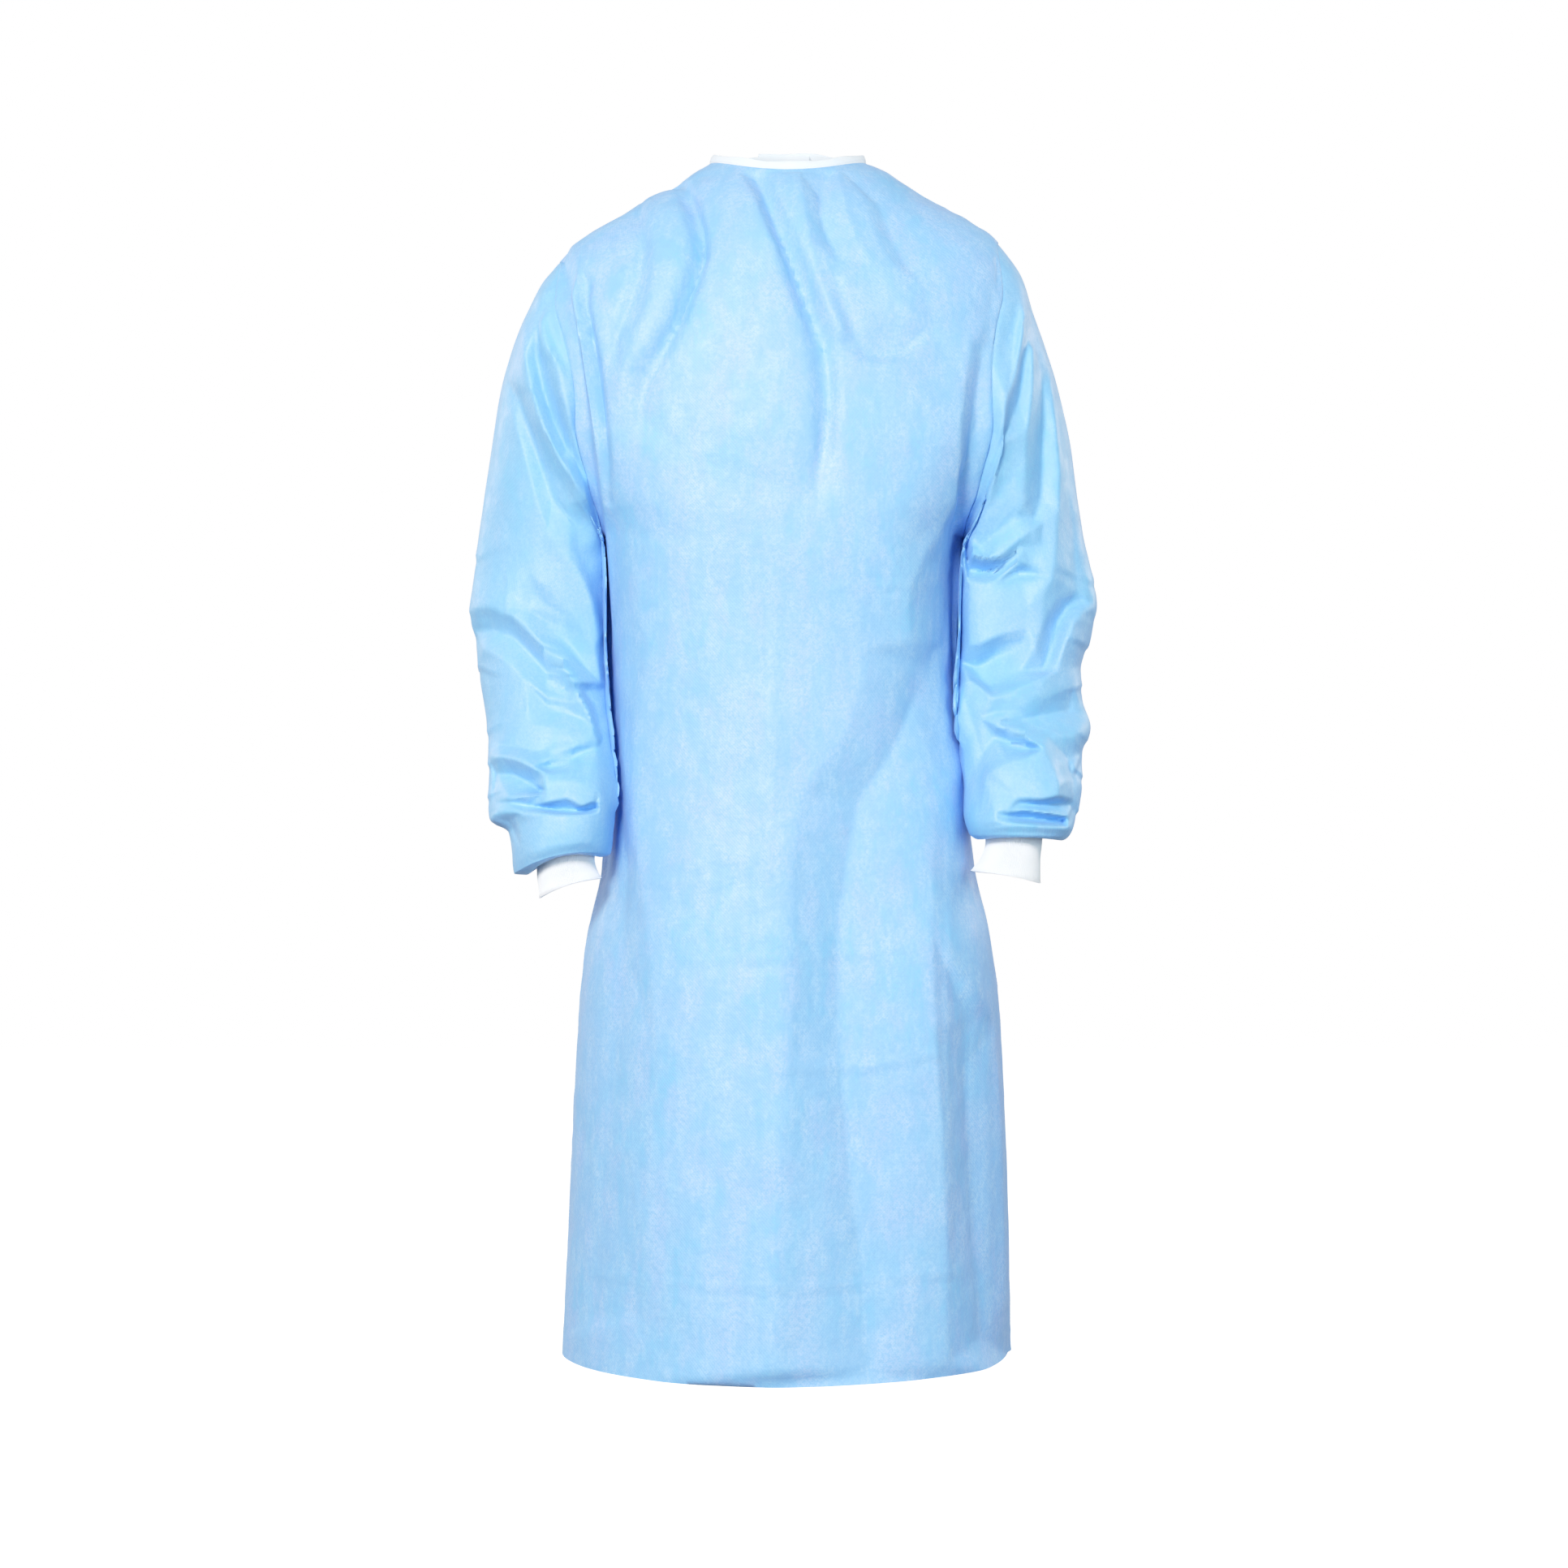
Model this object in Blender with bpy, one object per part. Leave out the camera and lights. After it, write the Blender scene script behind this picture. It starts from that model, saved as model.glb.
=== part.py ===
"""Surgical gown, worn: front, overlapping back, set-in sleeves bloused over rib-knit cuffs,
bound neck, touch-tape tab at the nape and a tied waist.

Metres, +Z up. The front faces -Y and the wearer's left is toward +X. The origin is the middle
of the neck opening, a few millimetres above the shoulders' inner ends."""

from collections import namedtuple
from math import pi

import bmesh
import bpy
import numpy as np

# ---------------------------------------------------------------- driving sizes, in metres
WALL = 0.0014             # cloth
SEAM = 0.0003             # gap between two sewn pieces
SHOULDER = 0.160          # distance down the cloth to the shoulder point
UNDERARM = 0.415          # and to the bottom of the armhole
HEM = 1.190               # and to the hem
SIDE = 90.0               # the side seams' angle, in degrees from the front centre
SEAM_FORWARD = 5.0        # degrees that the shoulder seam lies in front of the ridge
ARMHOLE_FRONT = 33.0      # degrees that the armhole bites into the front
ARMHOLE_BACK = 30.0       # and into the back
ARMHOLE_HIGH = 0.85       # under 1, it bites deepest above its middle
ARMHOLE_BLUNT = 0.55      # under 1, its ends are blunt
OVERLAP_OVER = 0.085      # the outer back passes the centre by this much
OVERLAP_UNDER = 0.065     # and the inner back by this much
OVERLAP_NECK = 0.35       # at the neck, only by this share of it
OVERLAP_WHOLE = 0.45      # and from this distance down, by all of it
OVERLAP_LIFT = 0.0042     # the outer back lies this far above the inner one
OVERLAP_SPARE = 1.15      # all along the inner one's width and a little more
LIFT_RUN = 0.050          # and rises to it over this width
SLEEVE_CLEAR = 0.0030     # the sleeves hang this far from the body
TURNED_CLEAR = 0.0080     # their turned ends this far
CUFF_BODY_CLEAR = 0.0092  # and the cuffs this far
BINDING_HEIGHT = 0.0080   # neck binding
BINDING_WALL = 0.0022
BINDING_PROUD = 0.0004    # it stands this far outside the cloth
BINDING_LEAN = 0.30       # and leans in by this share of its height
TAB = (0.010, 0.034)      # the nape's tab, from and to this distance down
TAB_BEFORE = 0.030        # it reaches this far before the outer back's edge
TAB_BEYOND = 0.032        # and beyond it
TIE_DOWN = 0.500          # distance down to the middle of the waist ties
TIE_WIDTH = 0.030
TIE_WALL = 0.0012
TIE_LIFT = 0.0009         # the ties lie this far above the cloth
KNOT = (0.0160, 0.0095, 0.0135)     # half sizes of the waist knot
TIE_START = 97.0          # the ties start just behind the side seams, in degrees
TIE_EARLY = 4.0           # the left tie rises this many degrees before the cloth under it
EDGE_PAST = 1.5           # a strip passes the outer back's edge by this many degrees
EDGE_DROP = 9.0           # and then drops over this many
TAIL_SPREAD = 0.020
TAIL_LENGTHS = {"left": 0.235, "right": 0.205}
ARMHOLE_ROWS = 12
SLEEVE_SIDES = 2 * ARMHOLE_ROWS
TURNED_RINGS = 3          # rings of a sleeve that are turned up inside its roll
CLEAR_RINGS = 3           # rings over which a sleeve comes clear of the body
BLEND_RINGS = 4           # rings over which the armhole's shape turns into the sleeve's

# ---------------------------------------------------------------- the body's sections
# A row for each section, from the neck down. down is the distance along the cloth. The side,
# front and back of a section lie at their own heights, and tilt raises its +X side.
Section = namedtuple("Section", "down side_z front_z back_z tilt half_width front_depth back_depth"
                                " square middle_x")
BODY = (
    Section(0.000, -0.007, -0.0235, 0.006, 0.000, 0.0775, 0.060, 0.058, 2.0, 0.004),
    Section(0.035, -0.0225, -0.050, -0.014, 0.003, 0.104, 0.082, 0.084, 2.1, 0.002),
    Section(0.080, -0.0440, -0.088, -0.052, 0.0045, 0.139, 0.100, 0.104, 2.2, 0.000),
    Section(0.125, -0.0740, -0.127, -0.090, 0.0065, 0.190, 0.112, 0.114, 2.3, -0.002),
    Section(0.160, -0.0950, -0.158, -0.120, 0.0095, 0.2155, 0.119, 0.118, 2.4, -0.005),
    Section(0.205, -0.1480, -0.200, -0.165, 0.004, 0.242, 0.126, 0.119, 2.4, -0.005),
    Section(0.300, -0.2550, -0.290, -0.262, 0.000, 0.235, 0.132, 0.118, 2.4, 0.000),
    Section(0.365, -0.3250, -0.350, -0.330, 0.000, 0.203, 0.132, 0.116, 2.4, 0.000),
    Section(0.415, -0.3750, -0.392, -0.380, 0.000, 0.178, 0.131, 0.113, 2.4, -0.001),
    Section(0.530, -0.4930, -0.498, -0.493, 0.000, 0.1725, 0.127, 0.105, 2.4, -0.002),
    Section(0.650, -0.6130, -0.615, -0.613, 0.000, 0.1745, 0.131, 0.105, 2.4, 0.000),
    Section(0.735, -0.7000, -0.702, -0.700, 0.000, 0.1820, 0.137, 0.110, 2.4, 0.002),
    Section(0.810, -0.7770, -0.779, -0.777, 0.000, 0.2000, 0.144, 0.116, 2.4, 0.004),
    Section(0.880, -0.8480, -0.850, -0.848, 0.000, 0.2075, 0.150, 0.121, 2.3, 0.005),
    Section(1.190, -1.1740, -1.176, -1.172, 0.000, 0.2210, 0.172, 0.142, 2.0, 0.003),
)

# Rows of the panels' grids: shoulders, armhole, waist and skirt.
SHOULDER_ROWS = np.linspace(0, SHOULDER, 6)
ARMHOLE_DOWNS = SHOULDER + (UNDERARM - SHOULDER) * (1 - np.cos(np.linspace(0, pi, ARMHOLE_ROWS + 1))) / 2
SKIRT_ROWS = np.linspace(UNDERARM, HEM, 15)
FRONT_STEADY = 49.0       # the front's middle columns keep their angles up to this many degrees
BACK_STEADY = 126.0       # and the back's from this many
PANEL_DOWNS = np.concatenate([SHOULDER_ROWS, ARMHOLE_DOWNS[1:], SKIRT_ROWS[1:]])

# ---------------------------------------------------------------- the sleeves' rings
# A row for each ring, from the armhole to the turned end inside the bloused roll. A ring joins
# its outer and its inner point, is half_depth deep each way and rises by lift in front and behind.
Ring = namedtuple("Ring", "outer_x outer_z inner_x inner_z middle_y half_depth lift")
SLEEVE_LEFT = (
    Ring(0.2328, -0.1200, 0.1808, -0.3816, 0.000, 0.073, 0.000),
    Ring(0.2451, -0.1553, 0.1811, -0.3877, 0.004, 0.074, 0.000),
    Ring(0.2599, -0.1948, 0.1813, -0.3954, 0.008, 0.074, 0.000),
    Ring(0.2748, -0.2384, 0.1808, -0.4071, 0.012, 0.073, 0.000),
    Ring(0.2846, -0.2823, 0.1793, -0.4230, 0.014, 0.072, 0.000),
    Ring(0.2896, -0.3263, 0.1778, -0.4390, 0.016, 0.071, 0.000),
    Ring(0.2954, -0.3665, 0.1771, -0.4550, 0.017, 0.070, 0.000),
    Ring(0.3034, -0.4027, 0.1763, -0.4711, 0.017, 0.069, 0.000),
    Ring(0.3095, -0.4391, 0.1753, -0.4833, 0.014, 0.068, 0.000),
    Ring(0.3022, -0.4717, 0.1716, -0.5014, 0.006, 0.066, 0.000),
    Ring(0.2918, -0.5041, 0.1711, -0.5201, -0.002, 0.064, 0.000),
    Ring(0.2923, -0.5324, 0.1737, -0.5403, -0.012, 0.062, 0.000),
    Ring(0.2990, -0.5605, 0.1793, -0.5645, -0.024, 0.061, 0.000),
    Ring(0.2890, -0.5884, 0.1872, -0.5884, -0.036, 0.060, 0.000),
    Ring(0.2877, -0.6180, 0.1874, -0.6200, -0.054, 0.058, 0.000),
    Ring(0.2812, -0.6465, 0.1828, -0.6457, -0.066, 0.055, 0.000),
    Ring(0.2734, -0.6666, 0.1846, -0.6651, -0.074, 0.052, 0.002),
    Ring(0.2660, -0.6710, 0.1890, -0.6700, -0.075, 0.046, 0.003),
    Ring(0.2530, -0.6650, 0.1920, -0.6640, -0.076, 0.036, 0.003),
    Ring(0.2490, -0.6540, 0.1920, -0.6510, -0.076, 0.034, 0.000),
)
SLEEVE_RIGHT = (
    Ring(0.2352, -0.1240, 0.1792, -0.3816, 0.000, 0.073, 0.000),
    Ring(0.2532, -0.1569, 0.1811, -0.3877, 0.004, 0.074, 0.000),
    Ring(0.2680, -0.1908, 0.1813, -0.3954, 0.008, 0.074, 0.000),
    Ring(0.2804, -0.2304, 0.1808, -0.4071, 0.012, 0.073, 0.000),
    Ring(0.2886, -0.2743, 0.1793, -0.4230, 0.014, 0.072, 0.000),
    Ring(0.2945, -0.3159, 0.1778, -0.4390, 0.016, 0.071, 0.000),
    Ring(0.2994, -0.3544, 0.1771, -0.4550, 0.017, 0.070, 0.000),
    Ring(0.3042, -0.3947, 0.1763, -0.4711, 0.017, 0.069, 0.000),
    Ring(0.3103, -0.4472, 0.1761, -0.4914, 0.014, 0.068, 0.000),
    Ring(0.3049, -0.4756, 0.1765, -0.5077, 0.008, 0.066, 0.000),
    Ring(0.2992, -0.5160, 0.1776, -0.5280, 0.000, 0.064, 0.000),
    Ring(0.2909, -0.5643, 0.1773, -0.5643, -0.018, 0.062, 0.000),
    Ring(0.2875, -0.6002, 0.1769, -0.5963, -0.036, 0.060, 0.000),
    Ring(0.2860, -0.6278, 0.1752, -0.6199, -0.050, 0.058, 0.004),
    Ring(0.2834, -0.6490, 0.1738, -0.6356, -0.060, 0.057, 0.008),
    Ring(0.2640, -0.6640, 0.1750, -0.6480, -0.066, 0.055, 0.010),
    Ring(0.2605, -0.6823, 0.1732, -0.6667, -0.070, 0.054, 0.010),
    Ring(0.2588, -0.7030, 0.1728, -0.6840, -0.072, 0.053, 0.010),
    Ring(0.2470, -0.7040, 0.1785, -0.6869, -0.074, 0.044, 0.010),
    Ring(0.2395, -0.6930, 0.1810, -0.6760, -0.074, 0.036, 0.008),
    Ring(0.2385, -0.6784, 0.1810, -0.6651, -0.073, 0.034, 0.004),
)

# ---------------------------------------------------------------- the cuffs
CUFF_RIBS = 44
CUFF_CLEAR = 0.0007       # the ribs' crests inside the turned sleeve end
RIB_DEPTH = 0.0006
CUFF_LEFT = (
    Ring(0.2480, -0.6740, 0.1925, -0.6730, -0.077, 0.033, 0.002),
    Ring(0.2462, -0.6900, 0.1895, -0.6840, -0.078, 0.032, 0.002),
    Ring(0.2462, -0.7118, 0.1785, -0.6995, -0.079, 0.033, 0.002),
)
CUFF_RIGHT = (
    Ring(0.2375, -0.7060, 0.1810, -0.6890, -0.075, 0.033, 0.006),
    Ring(0.2360, -0.7150, 0.1790, -0.6980, -0.076, 0.032, 0.004),
    Ring(0.2351, -0.7262, 0.1745, -0.7066, -0.077, 0.033, 0.004),
)

# ---------------------------------------------------------------- the largest folds
# A row for each fold: a curve through three points of the front view (or of the back's, seen
# from the front), how far it reaches to each side and how far it stands out. A trough has a
# negative height.
Fold = namedtuple("Fold", "x0 z0 x1 z1 x2 z2 reach height")
FOLD_FADE = 10.0          # degrees from a seam within which a fold dies out
FRONT_FOLDS = (
    Fold(-0.016, -0.044, 0.014, -0.140, 0.030, -0.330, 0.016, -0.0075),   # from the neck's centre
    Fold(0.030, -0.055, 0.050, -0.120, 0.075, -0.200, 0.018, 0.0060),     # ridge beside it
    Fold(-0.092, -0.055, -0.074, -0.110, -0.125, -0.235, 0.016, -0.0070),  # right neck to armhole
    Fold(-0.138, -0.075, -0.132, -0.140, -0.165, -0.215, 0.016, -0.0060),  # right shoulder
    Fold(-0.110, -0.070, -0.102, -0.130, -0.145, -0.230, 0.014, 0.0045),  # ridge between them
    Fold(0.050, -0.050, 0.090, -0.155, 0.150, -0.215, 0.022, -0.0060),    # left neck to armhole
    Fold(0.172, -0.350, 0.110, -0.450, 0.064, -0.540, 0.040, -0.0060),    # left underarm to waist
    Fold(-0.013, -0.560, -0.006, -0.850, -0.012, -1.180, 0.022, 0.0080),  # middle of the skirt
    Fold(0.060, -0.620, 0.085, -0.850, 0.070, -1.180, 0.045, -0.0090),    # hollow beside it
    Fold(-0.130, -0.560, -0.128, -0.850, -0.140, -1.180, 0.040, -0.0060),  # hollow, right skirt
    Fold(0.176, -0.760, 0.183, -0.950, 0.185, -1.180, 0.020, 0.0050),     # left edge of the skirt
)
BACK_FOLDS = (
    Fold(0.140, -0.140, 0.115, -0.230, 0.060, -0.330, 0.022, -0.0060),    # left shoulder blade
    Fold(-0.150, -0.150, -0.120, -0.250, -0.085, -0.380, 0.024, -0.0055),  # right shoulder blade
    Fold(0.105, -0.560, 0.118, -0.850, 0.125, -1.170, 0.030, -0.0080),    # left skirt
    Fold(-0.120, -0.600, -0.132, -0.880, -0.125, -1.170, 0.034, -0.0070),  # right skirt
    Fold(0.020, -0.790, 0.012, -0.950, 0.022, -1.170, 0.032, -0.0060),    # below the tails
)
SLEEVE_LEFT_FOLDS = (
    Fold(0.201, -0.400, 0.222, -0.386, 0.240, -0.377, 0.013, 0.0050),
    Fold(0.178, -0.424, 0.207, -0.421, 0.238, -0.413, 0.012, -0.0060),
    Fold(0.264, -0.400, 0.254, -0.420, 0.239, -0.439, 0.014, 0.0045),
    Fold(0.305, -0.441, 0.285, -0.449, 0.262, -0.465, 0.012, -0.0055),    # elbow
    Fold(0.219, -0.470, 0.200, -0.480, 0.180, -0.489, 0.013, -0.0050),
    Fold(0.262, -0.508, 0.230, -0.524, 0.203, -0.535, 0.012, -0.0050),
    Fold(0.253, -0.524, 0.232, -0.541, 0.209, -0.560, 0.012, 0.0055),
    Fold(0.250, -0.584, 0.222, -0.600, 0.194, -0.613, 0.012, 0.0050),
    Fold(0.215, -0.646, 0.244, -0.646, 0.276, -0.650, 0.010, -0.0050),    # above the roll
)
SLEEVE_RIGHT_FOLDS = (
    Fold(-0.218, -0.340, -0.203, -0.404, -0.172, -0.460, 0.014, 0.0060),
    Fold(-0.192, -0.405, -0.180, -0.435, -0.167, -0.468, 0.012, -0.0060),
    Fold(-0.259, -0.455, -0.206, -0.512, -0.180, -0.565, 0.014, 0.0060),
    Fold(-0.300, -0.470, -0.262, -0.464, -0.217, -0.516, 0.012, -0.0050),  # elbow
    Fold(-0.236, -0.600, -0.207, -0.586, -0.182, -0.572, 0.013, -0.0050),
    Fold(-0.284, -0.592, -0.234, -0.604, -0.178, -0.619, 0.012, 0.0055),
    Fold(-0.284, -0.612, -0.240, -0.622, -0.214, -0.632, 0.010, -0.0055),  # above the roll
)


# ================================================================ smooth curves through tables
def smooth(at, places, values):
    """A monotone cubic curve through a table's column."""
    step = np.diff(places)
    rise = np.diff(values) / step
    before, after = rise[:-1], rise[1:]
    same_way = before * after > 0
    total = np.where(same_way, before + after, 1)
    slope = np.concatenate([rise[:1], np.where(same_way, 2 * before * after / total, 0), rise[-1:]])
    row = np.clip(np.searchsorted(places, at) - 1, 0, len(step) - 1)
    width = step[row]
    t = (at - places[row]) / width
    return (
        (2 * t**3 - 3 * t**2 + 1) * values[row]
        + (t**3 - 2 * t**2 + t) * width * slope[row]
        + (3 * t**2 - 2 * t**3) * values[row + 1]
        + (t**3 - t**2) * width * slope[row + 1]
    )


def columns(table):
    return {name: np.array([getattr(row, name) for row in table]) for name in table[0]._fields}


BODY_COLUMNS = columns(BODY)


def body_section(down):
    """The body's section at a distance down, each value an array like down."""
    places = BODY_COLUMNS["down"]
    return Section(down, *(smooth(down, places, BODY_COLUMNS[name]) for name in Section._fields[1:]))


def signed_power(value, power):
    return np.sign(value) * np.abs(value) ** power


def body(down, angle):
    """Points on the outside of the body. angle is 0 at the front centre and 90 at the left side."""
    down, angle = np.broadcast_arrays(np.asarray(down, float), np.asarray(angle, float))
    section = body_section(down)
    turn = np.radians(angle)
    aside = signed_power(np.sin(turn), 2 / section.square)
    ahead = signed_power(np.cos(turn), 2 / section.square)
    depth = np.where(ahead > 0, section.front_depth, section.back_depth)
    far_z = np.where(ahead > 0, section.front_z, section.back_z)
    x = section.middle_x + section.half_width * aside
    z = section.side_z + (far_z - section.side_z) * np.cos(turn) ** 2 + section.tilt * aside
    return np.stack([x, -depth * ahead, z], axis=-1)


def unit(vectors):
    return vectors / np.maximum(np.linalg.norm(vectors, axis=-1, keepdims=True), 1e-12)


def outward(down, angle):
    """The body's outward directions."""
    down_step, angle_step = 0.004, 2.0
    along = body(np.minimum(down + down_step, HEM), angle) - body(np.maximum(down - down_step, 0), angle)
    across = body(down, angle + angle_step) - body(down, angle - angle_step)
    return unit(np.cross(along, across))


# ================================================================ folds
def fold_height(points, folds):
    """How far the folds push points out, judged in the front view."""
    place = points[..., [0, 2]]
    total = np.zeros(place.shape[:-1])
    for fold in folds:
        t = np.linspace(0, 1, 13)[:, None]
        first, middle, last = (np.array(fold[i:i + 2]) for i in (0, 2, 4))
        bend = 2 * middle - (first + last) / 2
        line = (1 - t) ** 2 * first + 2 * t * (1 - t) * bend + t**2 * last
        near = np.full(total.shape, np.inf)
        for start, end in zip(line[:-1], line[1:]):
            run = end - start
            share = np.clip(((place - start) @ run) / (run @ run), 0, 1)
            near = np.minimum(near, np.linalg.norm(place - start - share[..., None] * run, axis=-1))
        total += fold.height * np.exp(-((near / fold.reach) ** 2))
    return total


# ================================================================ panel edges, in degrees
def shoulder_seam(down):
    return SIDE - SEAM_FORWARD * np.clip(down / SHOULDER, 0, 1)


def armhole_edge(down, reach):
    """The armhole's edge: reach degrees in front of the side at its widest, or behind it."""
    share = np.clip((down - SHOULDER) / (UNDERARM - SHOULDER), 0, 1)
    middle = shoulder_seam(down) + (SIDE - shoulder_seam(down)) * share
    bite = np.sin(pi * share**ARMHOLE_HIGH) ** ARMHOLE_BLUNT
    return middle - reach * bite


def front_edge(down):
    return armhole_edge(down, ARMHOLE_FRONT)


def back_edge(down):
    return armhole_edge(down, -ARMHOLE_BACK)


def soft_step(value):
    value = np.clip(value, 0, 1)
    return value * value * (3 - 2 * value)


def overlap_share(down):
    """The share of its width by which the back overlaps: small at the neck, whole at the waist."""
    return OVERLAP_NECK + (1 - OVERLAP_NECK) * soft_step(down / OVERLAP_WHOLE)


def across_back(down, x):
    """The angle at which the back is x to the left of its centre."""
    section = body_section(down)
    return 180 - np.degrees(np.arcsin(signed_power(x / section.half_width, section.square / 2)))


def past_centre(down, width):
    """How many degrees an overlap's width passes the centre back."""
    return 180 - across_back(down, width * overlap_share(down))


# ================================================================ meshes
def quads(index):
    """The faces of a grid of point numbers, which face out where rows go down and columns left."""
    corners = [index[:-1, :-1], index[1:, :-1], index[1:, 1:], index[:-1, 1:]]
    return np.stack(corners, axis=-1).reshape(-1, 4)


def halves(corners, points):
    """Quads split along their shorter diagonals."""
    a, b, c, d = corners.T
    first, second = (np.linalg.norm(points[i] - points[j], axis=1) for i, j in ((a, c), (b, d)))
    turned = np.where(first > second, [b, c, d, a], corners.T)
    return np.concatenate([turned[[0, 1, 2]], turned[[0, 2, 3]]], axis=1).T


def grid_object(name, outer, inner, cloth, tube=False):
    """A wall between two grids of points, rows by columns. A tube's columns close on themselves."""
    points = np.concatenate([outer, inner]).reshape(-1, 3)
    count = len(points) // 2
    out = np.arange(count).reshape(outer.shape[:2])
    if tube:
        out = np.concatenate([out, out[:, :1]], axis=1)
    back = out + count
    wall = halves(quads(out), points)
    rims = [quads(np.stack([back[0], out[0]])), quads(np.stack([out[-1], back[-1]]))]
    if not tube:
        rims.append(quads(np.stack([back[:, 0], out[:, 0]], axis=1)))
        rims.append(quads(np.stack([out[:, -1], back[:, -1]], axis=1)))
    faces = wall.tolist() + (wall[:, ::-1] + count).tolist() + np.concatenate(rims).tolist()
    mesh = bpy.data.meshes.new(name)
    mesh.from_pydata(points.tolist(), [], faces)
    add_object(name, mesh, cloth)


def add_object(name, mesh, cloth):
    mesh.materials.append(cloth)
    mesh.shade_smooth()
    mesh.set_sharp_from_angle(angle=pi / 4)
    bpy.context.collection.objects.link(bpy.data.objects.new(name, mesh))


def material(name, colour, roughness):
    made = bpy.data.materials.new(name)
    made.use_nodes = True
    shader = made.node_tree.nodes["Principled BSDF"]
    shader.inputs["Base Color"].default_value = (*colour, 1)
    shader.inputs["Roughness"].default_value = roughness
    shader.inputs["Metallic"].default_value = 0
    return made


def pulled_in(grid):
    """A grid whose side edges stand back by half a seam's gap."""
    grid = grid.copy()
    grid[:, 0] += unit(grid[:, 1] - grid[:, 0]) * SEAM / 2
    grid[:, -1] += unit(grid[:, -2] - grid[:, -1]) * SEAM / 2
    return grid


def spread(first_edge, steady, last_edge):
    """Angles from edge to edge for each row: steady ones between, and three more to each edge."""
    third = np.arange(3) / 3
    before = first_edge[:, None] * (1 - third) + steady[0] * third
    after = last_edge[:, None] * (1 - third) + steady[-1] * third
    middle = np.repeat(steady[None, :], len(first_edge), axis=0)
    return np.concatenate([before, middle, after[:, ::-1]], axis=1)


def panel(angle, sewn, lift, folds):
    """The grids of a body panel, its angles given for each row. Folds die out at its sewn edges."""
    down = PANEL_DOWNS[:, None] + 0 * angle
    points = body(down, angle)
    direction = outward(down, angle)
    from_seam = np.min([np.abs(angle - angle[:, [edge]]) for edge in sewn], axis=0)
    height = fold_height(points, folds) * soft_step(from_seam / FOLD_FADE)
    if lift is not None:
        height = height + lift(down, angle)
    outer = points + direction * height[..., None]
    inner = outer - direction * WALL
    return pulled_in(outer), pulled_in(inner)


def patch(down, angle, lift, thickness):
    """The grids of a strip that lies lift above the body."""
    direction = outward(down, angle)
    inner = body(down, angle) + direction * np.asarray(lift)[..., None]
    return inner + direction * thickness, inner


def outer_back_lift(down, angle):
    """The outer back has risen over the inner one where the inner one's edge comes."""
    risen = 180 - OVERLAP_SPARE * past_centre(down, OVERLAP_UNDER)
    run = np.degrees(LIFT_RUN / body_section(down).half_width)
    return OVERLAP_LIFT * soft_step((angle - risen + run) / run)


def over_edge(angle, edge):
    """The lift of a strip that lies on the outer back and drops past its edge to the inner one."""
    return TIE_LIFT + OVERLAP_LIFT * (1 - soft_step((angle - edge - EDGE_PAST) / EDGE_DROP))


# ================================================================ sleeves
def armhole(side):
    """The armhole's points, down its front and up its back, and its outward and onward directions."""
    down = np.concatenate([ARMHOLE_DOWNS, ARMHOLE_DOWNS[-2:0:-1]])
    angle = np.concatenate([front_edge(ARMHOLE_DOWNS), back_edge(ARMHOLE_DOWNS[-2:0:-1])])
    normal = outward(down, side * angle)
    points = body(down, side * angle)
    along = np.roll(points, -1, axis=0) - np.roll(points, 1, axis=0)
    onward = unit(np.cross(normal, along)) * side
    return points, normal, onward


def ring_points(ring, side, turn, inset=0.0):
    """Points round a ring: turn is 0 at its outer point and a quarter at its front."""
    outer = np.array([side * ring.outer_x, ring.middle_y, ring.outer_z])
    inner = np.array([side * ring.inner_x, ring.middle_y, ring.inner_z])
    half = (outer - inner) / 2
    half = half * (1 - inset / np.linalg.norm(half))
    points = (outer + inner) / 2 + np.cos(turn)[:, None] * half
    points[:, 1] -= np.sin(turn) * (ring.half_depth - inset)
    points[:, 2] += np.sin(turn) ** 2 * ring.lift
    return points


def clear_of_body(points, side, gap):
    """Points moved sideways where they come nearer than a gap to the body's side."""
    down = np.interp(-points[:, 2], -BODY_COLUMNS["side_z"], BODY_COLUMNS["down"])
    section = body_section(down)
    depth = np.where(points[:, 1] < 0, section.front_depth, section.back_depth) + gap
    ahead = np.clip(np.abs(points[:, 1]) / depth, 0, 1) ** (section.square / 2)
    aside = (1 - ahead**2) ** (1 / section.square)
    least = side * section.middle_x + (section.half_width + gap) * aside
    below = down > UNDERARM
    moved = points.copy()
    moved[:, 0] = side * np.where(below, np.maximum(side * points[:, 0], least), side * points[:, 0])
    return moved


def tube_normals(grid):
    """Outward directions on a tube's grid, rings by columns."""
    along = np.gradient(grid, axis=0)
    across = np.roll(grid, -1, axis=1) - np.roll(grid, 1, axis=1)
    return unit(np.cross(along, across))


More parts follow.
